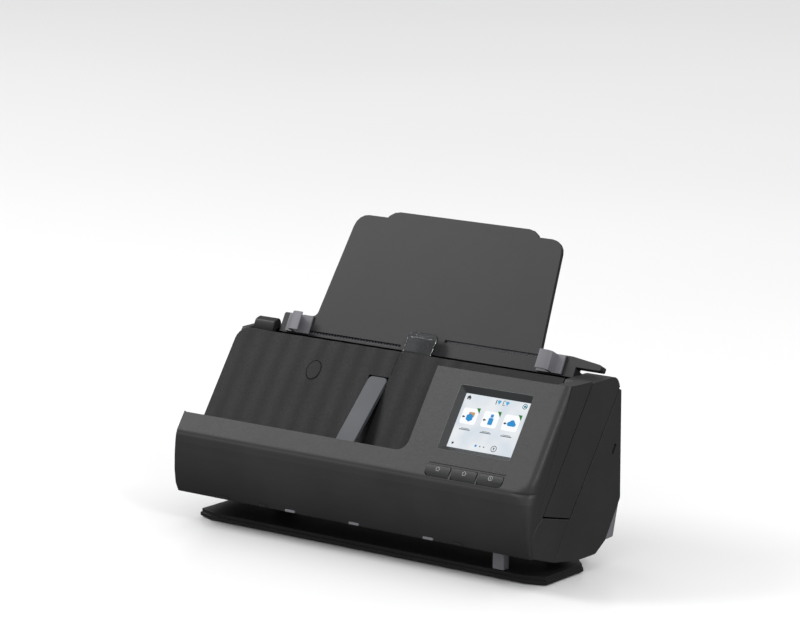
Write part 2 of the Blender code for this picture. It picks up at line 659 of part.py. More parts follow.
def make_levers():
    lever_axis = empty("cover_lever_axis", LEVER_Y[0] + 3, BODY_HEIGHT - 14, casing)
    thumb = [
        (LEVER_Y[0] + 1.5, BODY_HEIGHT - 17),
        (LEVER_Y[0] + 5.5, BODY_HEIGHT - 17),
        (LEVER_Y[0] + 6.0, BODY_HEIGHT - 2.0),
        (LEVER_Y[1], BODY_HEIGHT + 1.0),
        (LEVER_Y[1] - 2.0, BODY_HEIGHT + 6.2),
        (LEVER_Y[0] + 4.0, BODY_HEIGHT + 4.4),
        (LEVER_Y[0], BODY_HEIGHT - 3.0),
    ]
    lever = extrude("cover_lever", rounded(thumb, (1, 1, 0, 1.5, 2.5, 2.5, 0), 3), LEVER_X[0], LEVER_X[1], SIDE)
    finish(lever, lever_axis, BLACK)

    position_pivot = (REAR_Y - 0.9, 39.2)
    position_axis = empty("position_lever_axis", *position_pivot, casing)
    wedge = [(36.2, 17.4), (46.0, 17.8)] + arc(position_pivot, 0.8, -20, 145, 5)
    lever = extrude("position_lever", wedge, *POSITION_LEVER_X, SIDE)
    finish(lever, position_axis, GREY)


# ---- front cover ---------------------------------------------------------------------------------
def make_cover():
    crease = slope(CREASE_A, FRONT_STEP)
    band_front = -BODY_DEPTH / 2
    sweep = arc((HINGE_Y, HINGE_Z), HINGE_SWEEP + GAP, 110, 205, 8)
    outer = [
        (-48.4, 22.7),
        (-50.9, 28.5),
        (band_front, 38.0),
        (-51.8, 49.0),
        (-51.0, 58.0),
        crease,
        slope(FACE_TOP_A, FRONT_STEP),
        slope_at_height(BODY_HEIGHT + 0.4, 0),
    ]
    outer.reverse()
    shape = list(reversed(sweep)) + [slope(FOOT_A, 0)] + outer
    front = extrude("front_cover", shape, -HALF, HALF, SIDE)
    pocket = rounded(
        [(-HALF - 12, LIP_A), (POCKET_RIGHT, LIP_A), (POCKET_RIGHT, 130), (-HALF - 12, 130)],
        (0, POCKET_RADIUS, 0, 0),
        5,
    )
    cut(front, "pocket", pocket, -1, FRONT_STEP + 12, FACE)
    floor_a = LIP_A - 7.0
    lip_wall = FRONT_STEP - 2.6
    cut(front, "pocket_floor", box(-HALF + WALL, POCKET_RIGHT - 3, floor_a, LIP_A + 1), 1.0, lip_wall, FACE)
    cut(front, "output_slot", box(-CHEEK_X + 4, HALF - END_WALL, 2.0, 140), -2, OUTPUT_GAP, FACE)
    cut(front, "block_top", box(POCKET_RIGHT - 3, HALF - END_WALL, FACE_TOP_A, 130), -2, FRONT_STEP + 12, FACE)
    drum_room = arc(DRUM, DRUM_RADIUS + DRUM_CLEARANCE, 0, 345, 23)
    cut(front, "drum_room", drum_room, -CHEEK_X + 4, CHEEK_X - 4, SIDE)
    inside = box(POCKET_RIGHT + WALL, HALF - END_WALL + 6, floor_a - 1, FACE_TOP_A - WALL)
    cut(front, "block_room", inside, OUTPUT_GAP + 1.8, FRONT_STEP - 2.4, FACE)
    cut(front, "cable_hole", box(CHEEK_X - 16, CHEEK_X - 6, 24, 40), OUTPUT_GAP - 1, OUTPUT_GAP + 3, FACE)

    x0, x1, a0, a1 = SCREEN
    left, right, below, above = BEZEL_MARGIN
    recess = rounded(box(x0 - left, x1 + right, a0 - below, a1 + above), (2,) * 4, 3)
    cut(front, "display_window", recess, FRONT_STEP - 6, FRONT_STEP + 4, FACE)
    for i, (label, x) in enumerate(zip(("power", "home", "help"), BUTTON_X)):
        hole = button_outline(i, x, BUTTON_PLAY)
        cut(front, f"{label}_hole", hole, FRONT_STEP - 6, FRONT_STEP + 4, FACE)
    use_manifold_solver(front)
    finish(front, cover, CHARCOAL)

    bezel = [
        rounded(box(x0 - left + GAP, x1 + right - GAP, a0 - below + GAP, a1 + above - GAP), (1.7,) * 4, 3),
        box(x0, x1, a0, a1),
    ]
    finish(extrude("display_bezel", bezel, FRONT_STEP - 2.8, FRONT_STEP - 0.9, FACE), cover, BLACK)
    glass = box(x0 - 2, x1 + 2, a0 - 2, a1 + 2)
    finish(extrude("display_screen", glass, FRONT_STEP - 5.4, FRONT_STEP - 3.1, FACE), cover, SCREEN_GLASS)
    board = extrude("panel_board", box(60, 126, 17, 76), OUTPUT_GAP + 2.4, OUTPUT_GAP + 4.0, FACE)
    finish(board, cover, BOARD)

    for i, (label, x) in enumerate(zip(("power", "home", "help"), BUTTON_X)):
        axis = empty(f"{label}_button_axis", *slope(BUTTON_A, FRONT_STEP), cover)
        cap = extrude(f"{label}_button", button_outline(i, x, 0), FRONT_STEP - 4.0, FRONT_STEP + 0.5, FACE)
        finish(cap, axis, KEYS, bevel=0.3)


def button_outline(i, x, play):
    """One key's outline; the outer keys have a large outer lower corner."""
    width, height = BUTTON_SIZE
    corners = box(x - play, x + width + play, BUTTON_A - play, BUTTON_A + height + play)
    radii = [0.6] * 4
    if i == 0:
        radii[0] = 3.0
    if i == len(BUTTON_X) - 1:
        radii[1] = 3.0
    return rounded(corners, radii, 3)


def make_panel():
    """The ribbed panel: a wave across X, drawn once and run up the slope."""
    left, right = -HALF, CHEEK_X - GAP
    count = int((right - left) / RIB_PITCH)
    wave = []
    steps = 6
    for i in range(count * steps + 1):
        x = left + (right - left) * i / (count * steps)
        wave.append((x, -GAP - RIB_HEIGHT * (0.5 + 0.5 * cos(2 * pi * i / steps))))
    back = -GAP - PANEL_THICKNESS
    outline = [(right, back), (left, back)] + wave
    outline.reverse()
    panel = extrude("ribbed_panel", outline, -PANEL_TOP_A, -16.0, FACE_RUN)
    corner = [
        (-HALF - 4, PANEL_TOP_A + 4),
        (-HALF - 4, PANEL_TOP_A - 9.0),
    ] + arc((-HALF + 9.0, PANEL_TOP_A - 9.0), 9.0, 180, 90, 5) + [(-HALF + 9.0, PANEL_TOP_A + 4)]
    cut(panel, "corner", corner, -6, 4, FACE)
    low, high = STOPPER_A
    pan = box(STOPPER_X[0] - 2.2, STOPPER_X[1] + 2.2, low - 4.2, high + 2.2)
    join(panel, "stopper_pan", pan, -4.2, -GAP - PANEL_THICKNESS + 0.8, FACE)
    cut(panel, "stopper_recess", box(STOPPER_X[0] - 0.5, STOPPER_X[1] + 0.5, low - 3, high + 0.5), -3.2, 4, FACE)
    cut(panel, "plug_hole", oval(OVAL_SIZE[0] + GAP, OVAL_SIZE[1] + GAP), -8, 4, FACE)
    finish(panel, cover, CHARCOAL)
    plug = extrude("oval_plug", oval(*OVAL_SIZE), -GAP - PANEL_THICKNESS, -GAP, FACE)
    finish(plug, cover, CHARCOAL)


def oval(half_x, half_a, steps=20):
    turn = [2 * pi * i / steps for i in range(steps)]
    return [(OVAL_CENTRE[0] + half_x * cos(t), OVAL_CENTRE[1] + half_a * sin(t)) for t in turn]


def make_output_pieces():
    low, high = STOPPER_A
    hinge = slope(high - 1.5, -1.6)
    swing = empty("stopper_axis", *hinge, cover)
    out = radians(LEAN + STOPPER_SWING)
    frame = face_frame(hinge, sin(out), cos(out))
    bar = rounded(box(*STOPPER_X, low - high, 1.2), (2, 2, 3, 3), 3)
    stopper = extrude("output_stopper", bar, -1.2, 1.4, frame)
    finish(stopper, swing, CLEAR)

    slide = empty("output_tab_axis", *slope(TAB_A[0], 0), cover)
    left, right = TAB_X
    low, high = TAB_A
    hidden_top = PANEL_TOP_A - 0.6
    shape = [(left + 2.6, low), (right, low), (right, high), (left, high), (left, hidden_top), (left + 2.6, hidden_top)]
    shape = rounded(shape, (0.5, 0.5, 4, 4, 0, 0), 4)
    finish(extrude("output_tab", shape, TAB_BACK, TAB_BACK + TAB_THICKNESS, FACE), slide, CLEAR)


def make_cover_path():
    near, far = GUIDE_OFFSET, GUIDE_OFFSET + GUIDE_THICKNESS
    outlines = [
        box(-GUIDE_X, GUIDE_X, -87, -17),
        window(-22, 22, FEED_B, SEPARATION_RADIUS + 0.8),
        window(-86, -58, TRANSPORT_B, PINCH_RADIUS + 0.8),
        window(58, 86, TRANSPORT_B, PINCH_RADIUS + 0.8),
        window(-110, 110, -73, 6),
    ]
    finish(extrude("front_paper_guide", outlines, near, far, SHEET), cover, BLACK)
    finish(extrude("front_image_sensor", box(-113, 113, -81.5, -64.5), far + GAP, 10.2, SHEET), cover, BLACK)
    finish(extrude("front_scan_glass", box(-109, 109, -78.5, -67.5), near + GAP, far, SHEET), cover, GLASS)

    for name, centre, radius, x0, x1 in (
        ("separation_roller", SEPARATION, SEPARATION_RADIUS, -20, 20),
        ("pinch_roller_left", PINCH, PINCH_RADIUS, -84, -60),
        ("pinch_roller_right", PINCH, PINCH_RADIUS, 60, 84),
        ("turn_roller", DRUM, DRUM_RADIUS, -GUIDE_X + 6, GUIDE_X - 6),
    ):
        axis = empty(f"{name}_axis", *centre, cover)
        finish(cylinder(name, x0, x1, centre, radius, 20), axis, RUBBER)


# ---- input tray ----------------------------------------------------------------------------------
def make_tray():
    outline = rounded(
        [
            (TRAY_LEFT, 1.0),
            (CHEEK_X - 1.5, 1.0),
            (CHEEK_X - 1.5, 8.2),
            (TRAY_RIGHT, 8.2),
            (TRAY_RIGHT, 12.0),
            (CHEEK_X - 6.0, TRAY_BAR_TOP),
            (TRAY_HALF_WIDTH + 8, TRAY_BAR_TOP),
            (TRAY_HALF_WIDTH, TRAY_LENGTH),
            (-TRAY_HALF_WIDTH, TRAY_LENGTH),
            (-TRAY_HALF_WIDTH - 8, TRAY_BAR_TOP),
            (TRAY_LEFT, TRAY_BAR_TOP),
        ],
        (0, 0, 0, 1, 1.5, 0, 4, 10, 10, 4, 1.5),
        4,
    )
    body = extrude("input_tray", outline, BAR_BACK, BAR_FRONT, SHEET)
    thin = box(-TRAY_HALF_WIDTH - 20, TRAY_HALF_WIDTH + 20, TRAY_BAR_TOP + 1.5, TRAY_LENGTH + 20)
    cut(body, "thin_plate", thin, BAR_BACK - 5, BAR_FRONT - 3.0, SHEET)
    channel = box(-GUIDE_X + 6.5, GUIDE_X - 6.5, 1.8, 13.4)
    cut(body, "rack_channel", channel, BAR_BACK - 5, BAR_FRONT - 2.2, SHEET)
    reach = SHEET_WIDTH / 2 + 4
    inner = CARD_WIDTH / 2 - 10
    cut(body, "left_slot", box(-reach, -inner, 2.4, 4.6), BAR_BACK, BAR_FRONT + 3, SHEET)
    cut(body, "right_slot", box(inner, reach, 10.6, 12.8), BAR_BACK, BAR_FRONT + 3, SHEET)
    rim = (TRAY_PIVOT_Y, TRAY_PIVOT_Z)
    for name, sign in SIDES:
        x0, x1 = mirrored(GUIDE_X - 4.8, GUIDE_X - 0.3, sign)
        arm = [path(1.2, BAR_BACK + 1.5), path(10.5, BAR_BACK + 1.5)] + list(reversed(arc(rim, 4.6, -95, 75, 6)))
        join(body, f"arm_{name}", arm, x0, x1, SIDE)
        x0, x1 = mirrored(GUIDE_X - 2.0, CHASSIS_X + 0.8, sign)
        boolean(body, cylinder(f"input_tray_pin_{name}", x0, x1, rim, 2.0, 16, cutters), "UNION")
        rail = [(66.4, -2.8), (69.4, -2.8), (69.4, -7.2), (62.4, -7.2), (62.4, -5.9), (66.4, -5.9)]
        rail = [(sign * x, BAR_FRONT + e) for x, e in rail]
        join(body, f"rail_{name}", rail, -TRAY_LENGTH + 6, -TRAY_BAR_TOP - 9, SHEET_RUN)
    finish(body, tray, GREY)

    lid = extrude("tray_back_cover", box(-GUIDE_X + 6, GUIDE_X - 6, 1.4, 14.6), BAR_BACK - 1.6, BAR_BACK - GAP, SHEET)
    finish(lid, tray, BLACK)

    slide = empty("tray_extension_axis", *path(TRAY_BAR_TOP, BAR_BACK), tray)
    ends = (TRAY_BAR_TOP + 2, TRAY_LENGTH + EXTENSION_PROUD)
    shape = rounded(box(-EXTENSION_HALF_WIDTH, EXTENSION_HALF_WIDTH, *ends), (2, 2, 12, 12), 4)
    plate = extrude("tray_extension", shape, EXTENSION_BACK, BAR_FRONT - 3.0 - GAP, SHEET)
    finish(plate, slide, CHARCOAL)


def rack_outline(x0, x1, tip_b, side, phase):
    """A rack's outline in the sheet's plane: a bar with teeth towards the pinion, side +1 for teeth that point up."""
    root = tip_b - side * 1.75 * RACK_MODULE
    back = tip_b - side * 3.5 * RACK_MODULE
    first = int((x0 - phase) / RACK_PITCH) + 1
    last = int((x1 - phase) / RACK_PITCH) - 1
    edge = [(x0, root)]
    for i in range(first, last + 1):
        centre = phase + i * RACK_PITCH
        edge += [
            (centre - 0.34 * RACK_PITCH, root),
            (centre - 0.12 * RACK_PITCH, tip_b),
            (centre + 0.12 * RACK_PITCH, tip_b),
            (centre + 0.34 * RACK_PITCH, root),
        ]
    edge += [(x1, root), (x1, back), (x0, back)]
    return edge


def make_guides():
    edge = SHEET_WIDTH / 2 + 1.5
    rack_front = BAR_FRONT - 2.2 - GAP
    rack_back = BAR_BACK + 0.9
    tip = 0.75 * RACK_MODULE
    for name, sign in SIDES:
        axis = empty(f"edge_guide_{name}_axis", *path(PINION_B, BAR_FRONT), tray)
        profile = [
            (edge - 11, BAR_FRONT + GAP),
            (edge + 9, BAR_FRONT + GAP),
            (edge + 9, BAR_FRONT + 1.9),
            (edge + 2.2, BAR_FRONT + 1.9),
            (edge + 2.2, 6.0),
            (edge - 0.6, 8.0),
            (edge - 7.0, 8.0),
            (edge - 7.0, 6.9),
            (edge - 1.0, 6.6),
            (edge, 5.4),
            (edge, BAR_FRONT + 1.5),
            (edge - 11, BAR_FRONT + 1.5),
        ]
        if sign < 0:
            profile = [(-x, e) for x, e in reversed(profile)]
        guide = extrude(f"edge_guide_{name}", profile, -14.6, -1.6, SHEET_RUN)
        tab_b = (2.6, 4.4) if sign < 0 else (10.8, 12.6)
        x0, x1 = mirrored(edge - 9, edge - 1.7, sign)
        join(guide, "tab", box(x0, x1, *tab_b), rack_front - 1.0, BAR_FRONT + 1.0, SHEET)
        x0, x1 = mirrored(-8.5, edge - 1.0, sign)
        mesh_b = PINION_B + sign * (PINION_RADIUS - tip)
        rack = rack_outline(x0, x1, mesh_b, -sign, RACK_PITCH / 2 * (PINION_TEETH % 2 == 0))
        join(guide, "rack", rack, rack_back, rack_front, SHEET)
        use_manifold_solver(guide)
        finish(guide, axis, GREY)

    teeth = []
    for i in range(PINION_TEETH):
        centre = 360 / PINION_TEETH * i + 90
        pitch = 360 / PINION_TEETH
        for offset, radius in (
            (-0.34, PINION_RADIUS - 1.15 * RACK_MODULE),
            (-0.11, PINION_RADIUS + tip),
            (0.11, PINION_RADIUS + tip),
            (0.34, PINION_RADIUS - 1.15 * RACK_MODULE),
        ):
            angle = radians(centre + offset * pitch)
            teeth.append((radius * cos(angle), PINION_B + radius * sin(angle)))
    pinion_axis = empty("guide_pinion_axis", *path(PINION_B, BAR_BACK), tray)
    finish(extrude("guide_pinion", teeth, rack_back, rack_front, SHEET), pinion_axis, WHITE)


make_stand()
make_housings()
make_chassis()
make_rear_path()
make_drive()
make_electrics()
make_levers()
make_cover()
make_panel()
make_output_pieces()
make_cover_path()
make_tray()
make_guides()
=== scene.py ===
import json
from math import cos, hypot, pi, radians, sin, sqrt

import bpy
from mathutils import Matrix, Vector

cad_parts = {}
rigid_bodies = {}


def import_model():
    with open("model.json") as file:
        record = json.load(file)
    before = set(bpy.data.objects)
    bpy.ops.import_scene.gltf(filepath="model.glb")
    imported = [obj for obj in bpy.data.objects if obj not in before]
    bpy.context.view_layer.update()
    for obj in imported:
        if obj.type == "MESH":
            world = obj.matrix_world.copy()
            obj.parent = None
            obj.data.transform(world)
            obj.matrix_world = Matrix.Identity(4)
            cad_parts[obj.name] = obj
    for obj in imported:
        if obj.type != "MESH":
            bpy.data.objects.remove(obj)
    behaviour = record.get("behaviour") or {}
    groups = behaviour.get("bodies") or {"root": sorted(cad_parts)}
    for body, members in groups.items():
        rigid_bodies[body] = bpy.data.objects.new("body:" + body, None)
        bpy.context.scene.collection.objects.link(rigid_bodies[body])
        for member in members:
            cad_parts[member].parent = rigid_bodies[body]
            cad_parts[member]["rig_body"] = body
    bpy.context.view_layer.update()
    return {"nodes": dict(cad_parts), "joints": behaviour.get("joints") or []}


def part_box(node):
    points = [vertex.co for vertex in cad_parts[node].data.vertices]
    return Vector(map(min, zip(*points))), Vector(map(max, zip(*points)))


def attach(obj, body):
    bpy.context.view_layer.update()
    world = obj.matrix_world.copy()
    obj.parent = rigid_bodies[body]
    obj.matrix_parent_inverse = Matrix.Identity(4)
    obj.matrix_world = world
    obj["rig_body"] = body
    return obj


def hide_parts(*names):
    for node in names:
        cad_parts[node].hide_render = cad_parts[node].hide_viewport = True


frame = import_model()

# Looks for the sheet fed document scanner: a charcoal desktop scanner on a tilting stand.
#
# New pieces are drawn flat in millimetres and set down by one of two frames:
#   FACE   x across, y up the leaning front face, z out of it
#   SHEET  x across, y up the path of the paper, z out towards the front
# Both turn about the world's origin, so span() gives a node's place in the same numbers.

MM = 0.001

FACE_NORMAL = -Vector(next(j["axis"] for j in frame["joints"] if j["name"] == "power_press"))
SHEET_LEAN = radians(29.0)


def leaning(normal):
    """The frame whose third axis is this normal and whose first is world X."""
    up = normal.cross(Vector((1, 0, 0)))
    return Matrix(((1, up.x, normal.x), (0, up.y, normal.y), (0, up.z, normal.z)))


FACE = leaning(FACE_NORMAL)
SHEET = leaning(Vector((0, -cos(SHEET_LEAN), sin(SHEET_LEAN))))
UPRIGHT = leaning(Vector((0, -1, 0)))
PLATE_STEP = 0.9                        # setback of the stand plate's upper layer


def span(node, axes=FACE):
    """The lowest and highest corner of a CAD node in these axes, in millimetres."""
    turned = [axes.transposed() @ v.co / MM for v in frame["nodes"][node].data.vertices]
    return (
        Vector([min(p[i] for p in turned) for i in range(3)]),
        Vector([max(p[i] for p in turned) for i in range(3)]),
    )


BODY_HIGH = span("front_cover")[1]
HALF = BODY_HIGH.x
FACE_D = BODY_HIGH.z
FRONT_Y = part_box("front_cover")[0].y / MM
SCREEN_LOW, SCREEN_HIGH = span("display_screen")
BEZEL_LOW, BEZEL_HIGH = span("display_bezel")
SCREEN_HIDDEN = 2.0                     # of the glass, under the bezel all round


# ---- materials -----------------------------------------------------------------------------------
def linear(code):
    """An sRGB hex colour as linear RGBA."""
    values = [int(code[i:i + 2], 16) / 255 for i in (1, 3, 5)]
    return (*[v / 12.92 if v <= 0.04045 else ((v + 0.055) / 1.055) ** 2.4 for v in values], 1.0)


def add(tree, kind, values=(), links=(), **settings):
    """Adds a shader node with its settings, its input values and what is linked into it."""
    made = tree.nodes.new("ShaderNode" + kind)
    for name, value in settings.items():
        setattr(made, name, value)
    for name, value in dict(values).items():
        made.inputs[name].default_value = value
    for name, source in dict(links).items():
        tree.links.new(source, made.inputs[name])
    return made


def blank(name, **values):
    """A material with the shader's own sockets set; returns it, its tree, its shader and its coordinates."""
    made = bpy.data.materials.new(name)
    made.use_nodes = True
    tree = made.node_tree
    shader = tree.nodes["Principled BSDF"]
    for socket, value in values.items():
        shader.inputs[socket.replace("_", " ")].default_value = value
    place = add(tree, "TexCoord").outputs["Object"]
    return made, tree, shader, place


def noise(tree, place, size, detail=2.0, **values):
    """Cloudy noise whose features are about size millimetres across."""
    found = add(tree, "TexNoise", {"Scale": 1 / (size * MM), "Detail": detail, **values}, {"Vector": place})
    return found.outputs["Fac"]


def spread(tree, source, low, high, start=0.3, end=0.7):
    """The source stretched from start..end to low..high."""
    settings = {"From Min": start, "From Max": end, "To Min": low, "To Max": high}
    return add(tree, "MapRange", settings, {"Value": source}).outputs["Result"]


def tinted(tree, source, dark, light):
    """A colour between two, by the source."""
    made = add(tree, "ValToRGB", links={"Fac": source})
    ends = made.color_ramp.elements
    ends[0].position, ends[0].color = 0.35, linear(dark)
    ends[1].position, ends[1].color = 0.65, linear(light)
    return made.outputs["Color"]


def bumped(tree, shader, source, depth, strength=1.0):
    """Sets the shader's normal to a relief of this depth in millimetres."""
    made = add(tree, "Bump", {"Distance": depth * MM, "Strength": strength}, {"Height": source})
    tree.links.new(made.outputs["Normal"], shader.inputs["Normal"])


def moulded(name, dark, light, roughness, grain, depth, specular=0.5):
    """Injection-moulded plastic: a spark-eroded grain and faint flow marks in colour and gloss."""
    made, tree, shader, place = blank(name, Specular_IOR_Level=specular, IOR=1.54)
    flow = noise(tree, place, 38.0, 3.0)
    tree.links.new(tinted(tree, flow, dark, light), shader.inputs["Base Color"])
    fine = noise(tree, place, grain, 3.0)
    gloss = add(tree, "Math", {1: 0.5}, {0: fine}, operation="ADD")
    rough = add(tree, "Math", links={0: gloss.outputs[0], 1: spread(tree, flow, roughness * 0.96, roughness * 1.04)},
                operation="MULTIPLY")
    tree.links.new(rough.outputs[0], shader.inputs["Roughness"])
    bumped(tree, shader, fine, depth)
    return made


# The real grain is about 0.15 mm; it is drawn at 0.5 to 0.9 mm so that it shows.
# Charcoal ABS, spark-eroded mould: matt, a little lighter where it catches the light.
CHARCOAL_ABS = moulded("charcoal_abs_spark_eroded", "#2b2b2c", "#2e2e2f", 0.5, 0.7, 0.020, 0.45)
# The same ABS with a satin mould finish on the ribbed panel; its colour is set well below the charcoal's, partly for
# the smoother finish and partly as painted shade of the pocket the panel sits in.
PANEL_SATIN_AND_SHADE_ABS = moulded("charcoal_abs_satin", "#161617", "#19191a", 0.55, 0.6, 0.010, 0.22)
# Black ABS on the stand, the paper path and the levers.
BLACK_ABS = moulded("black_abs_spark_eroded", "#1b1b1c", "#1f1f20", 0.46, 0.6, 0.015, 0.4)
# Mid grey ABS on the fins and the stand's arms.
GREY_ABS = moulded("mid_grey_abs", "#6c6c70", "#737378", 0.42, 0.6, 0.012, 0.45)
# Dark grey ABS on the input tray.
TRAY_ABS = moulded("dark_grey_abs", "#232324", "#272729", 0.45, 0.7, 0.018, 0.45)
# Polished ABS round the display.
BEZEL_ABS = moulded("slate_abs_fine", "#303233", "#343637", 0.38, 0.5, 0.006, 0.5)
# ABS keycaps with a smooth top.
KEY_ABS = moulded("key_abs_smooth", "#272828", "#2a2b2b", 0.36, 0.5, 0.006, 0.5)
# White acetal, the pulleys and the pinion: waxy and slightly translucent to the eye.
ACETAL = moulded("white_acetal_moulded", "#dedbd2", "#e6e3da", 0.34, 0.8, 0.006, 0.5)


def make_rubber():
    """Moulded EPDM: dull black with a ground surface."""
    made, tree, shader, place = blank("epdm_rubber_ground", Specular_IOR_Level=0.3)
    grit = noise(tree, place, 0.5, 4.0)
    tree.links.new(tinted(tree, grit, "#1b1b1c", "#27272a"), shader.inputs["Base Color"])
    tree.links.new(spread(tree, grit, 0.7, 0.9), shader.inputs["Roughness"])
    bumped(tree, shader, grit, 0.05)
    return made


def make_steel():
    """Ground steel bar: fine rings round the shaft."""
    made, tree, shader, place = blank("ground_steel", Metallic=1.0)
    rings = add(tree, "Mapping", {"Scale": (1.0, 0.02, 0.02)}, {"Vector": place}).outputs["Vector"]
    lines = noise(tree, rings, 0.4, 3.0)
    tree.links.new(tinted(tree, lines, "#a3a5a8", "#b9bbbe"), shader.inputs["Base Color"])
    tree.links.new(spread(tree, lines, 0.22, 0.34), shader.inputs["Roughness"])
    bumped(tree, shader, lines, 0.01)
    return made


def make_zinc():
    """Galvanised sheet: crystals a few millimetres across with slightly different greys."""
    made, tree, shader, place = blank("galvanised_sheet", Metallic=1.0)
    crystals = add(tree, "TexVoronoi", {"Scale": 1 / (6 * MM), "Randomness": 1.0}, {"Vector": place})
    grey = add(tree, "SeparateColor", links={"Color": crystals.outputs["Color"]}).outputs[0]
    tree.links.new(tinted(tree, grey, "#8f9396", "#aeb2b4"), shader.inputs["Base Color"])
    tree.links.new(spread(tree, grey, 0.32, 0.48, 0.0, 1.0), shader.inputs["Roughness"])
    bumped(tree, shader, noise(tree, place, 0.7, 2.0), 0.01)
    return made


def make_board():
    """Fibreglass board: green solder mask over copper tracks on a 2.5 mm grid."""
    made, tree, shader, place = blank("solder_mask_board", Roughness=0.32, Coat_Weight=0.4)
    tracks = add(tree, "TexBrick", {
        "Scale": 1 / (10 * MM), "Mortar Size": 0.035, "Brick Width": 0.9, "Row Height": 0.25,
        "Color1": linear("#0f4a2a"), "Color2": linear("#125332"), "Mortar": linear("#2f7d4d"),
    }, {"Vector": add(tree, "Mapping", {"Rotation": (pi / 2, 0, 0)}, {"Vector": place}).outputs["Vector"]})
    tree.links.new(tracks.outputs["Color"], shader.inputs["Base Color"])
    bumped(tree, shader, tracks.outputs["Fac"], 0.04)
    return made


def make_clear():
    """Smoked polycarbonate, polished mould: clear enough to show what is behind it."""
    made, tree, shader, place = blank("smoked_polycarbonate", IOR=1.585, Transmission_Weight=1.0)
    haze = noise(tree, place, 14.0, 2.0)
    tree.links.new(tinted(tree, haze, "#b4b8bc", "#bcc0c4"), shader.inputs["Base Color"])
    tree.links.new(spread(tree, haze, 0.02, 0.05), shader.inputs["Roughness"])
    return made


def make_frosted():
    """Smoked polycarbonate with a satin back: a grey strip that lets little through."""
    made, tree, shader, place = blank("smoked_polycarbonate_satin", IOR=1.585, Transmission_Weight=0.15,
                                      Specular_IOR_Level=0.2)
    haze = noise(tree, place, 20.0, 2.0)
    tree.links.new(tinted(tree, haze, "#45484c", "#4b4e53"), shader.inputs["Base Color"])
    tree.links.new(spread(tree, haze, 0.42, 0.5), shader.inputs["Roughness"])
    return made


def make_glass():
    """Float glass over the image sensors, green at its edge."""
    made, tree, shader, place = blank("float_glass", IOR=1.52, Coat_Weight=0.5)
    smear = noise(tree, place, 25.0, 3.0)
    tree.links.new(tinted(tree, smear, "#20302f", "#283a38"), shader.inputs["Base Color"])
    tree.links.new(spread(tree, smear, 0.03, 0.09), shader.inputs["Roughness"])
    return made


def lit(name, colour, strength, size=9.0, second=None):
    """A display colour under glass, with the backlight's faint unevenness."""
    made, tree, shader, place = blank(name, Roughness=0.3, Emission_Strength=strength, Specular_IOR_Level=0.15)
    cloud = noise(tree, place, size, 1.0)
    shown = tinted(tree, cloud, colour, second or colour)
    tree.links.new(shown, shader.inputs["Emission Color"])
    shader.inputs["Base Color"].default_value = linear("#101010")
    return made


RUBBER = make_rubber()
STEEL = make_steel()
ZINC = make_zinc()
BOARD = make_board()
CLEAR = make_clear()
FROSTED = make_frosted()
GLASS = make_glass()


def print_ink():
    """Pad-printed light grey ink on the keys."""
    made, tree, shader, place = blank("pad_printed_ink", Roughness=0.5)
    cover = noise(tree, place, 0.8, 2.0)
    tree.links.new(tinted(tree, cover, "#8a8c8c", "#9a9c9c"), shader.inputs["Base Color"])
    return made


INK = print_ink()


# ---- making pieces -------------------------------------------------------------------------------
def take(piece):
    """Makes the piece the only one that operators act on."""
    bpy.ops.object.select_all(action="DESELECT")
    piece.select_set(True)
    bpy.context.view_layer.objects.active = piece


def edit(piece, *steps):
    """Runs these edit-mode steps on the piece with all of it selected."""
    take(piece)
    bpy.ops.object.mode_set(mode="EDIT")
    bpy.ops.mesh.select_all(action="SELECT")
    for step in steps:
        step()
    bpy.ops.object.mode_set(mode="OBJECT")


def bevel_edges(piece, wanted, width, segments=3, clamp=True):
    """Rounds the edges whose two ends, in metres, the test accepts."""
    take(piece)
    mesh = piece.data
    bpy.context.tool_settings.mesh_select_mode = (False, True, False)
    for group in (mesh.vertices, mesh.polygons):
        group.foreach_set("select", [False] * len(group))
    ends = [[mesh.vertices[i].co for i in edge.vertices] for edge in mesh.edges]
    mesh.edges.foreach_set("select", [wanted(*pair) for pair in ends])
    bpy.ops.object.mode_set(mode="EDIT")
    bpy.ops.mesh.bevel(offset=width * MM, segments=segments, affect="EDGES", clamp_overlap=clamp)
    bpy.ops.object.mode_set(mode="OBJECT")


def on_faces(piece, wanted, step):
    """Runs an edit-mode step with only the wanted faces selected."""
    take(piece)
    mesh = piece.data
    bpy.context.tool_settings.mesh_select_mode = (False, False, True)
    for group in (mesh.vertices, mesh.edges):
        group.foreach_set("select", [False] * len(group))
    mesh.polygons.foreach_set("select", [wanted(polygon) for polygon in mesh.polygons])
    bpy.ops.object.mode_set(mode="EDIT")
    step()
    bpy.ops.object.mode_set(mode="OBJECT")


def apply_all(piece):
    take(piece)
    for step in list(piece.modifiers):
        bpy.ops.object.modifier_apply(modifier=step.name)


def soften(piece, width, segments=3, angle=40.0):
    """Rounds every edge sharper than the angle, and shades the flats flat and the rounds round."""
    step = piece.modifiers.new("edges", "BEVEL")
    step.width = width * MM
    step.segments = segments
    step.limit_method = "ANGLE"
    step.angle_limit = radians(angle)
    step.use_clamp_overlap = True
    apply_all(piece)
    bpy.ops.object.shade_smooth_by_angle(angle=radians(48))
    piece.modifiers.new("flats", "WEIGHTED_NORMAL").keep_sharp = True
    apply_all(piece)


def merged_copy(node, name):
    """A copy of a CAD node's mesh with its triangles merged back into whole faces."""
    piece = bpy.data.objects.new(name, frame["nodes"][node].data.copy())
    bpy.context.scene.collection.objects.link(piece)
    take(piece)
    bpy.ops.mesh.customdata_custom_splitnormals_clear()
    edit(
        piece,
        lambda: bpy.ops.mesh.remove_doubles(threshold=0.005 * MM),
        lambda: bpy.ops.mesh.dissolve_limited(angle_limit=radians(0.4)),
        lambda: bpy.ops.mesh.normals_make_consistent(inside=False),
    )
    return piece


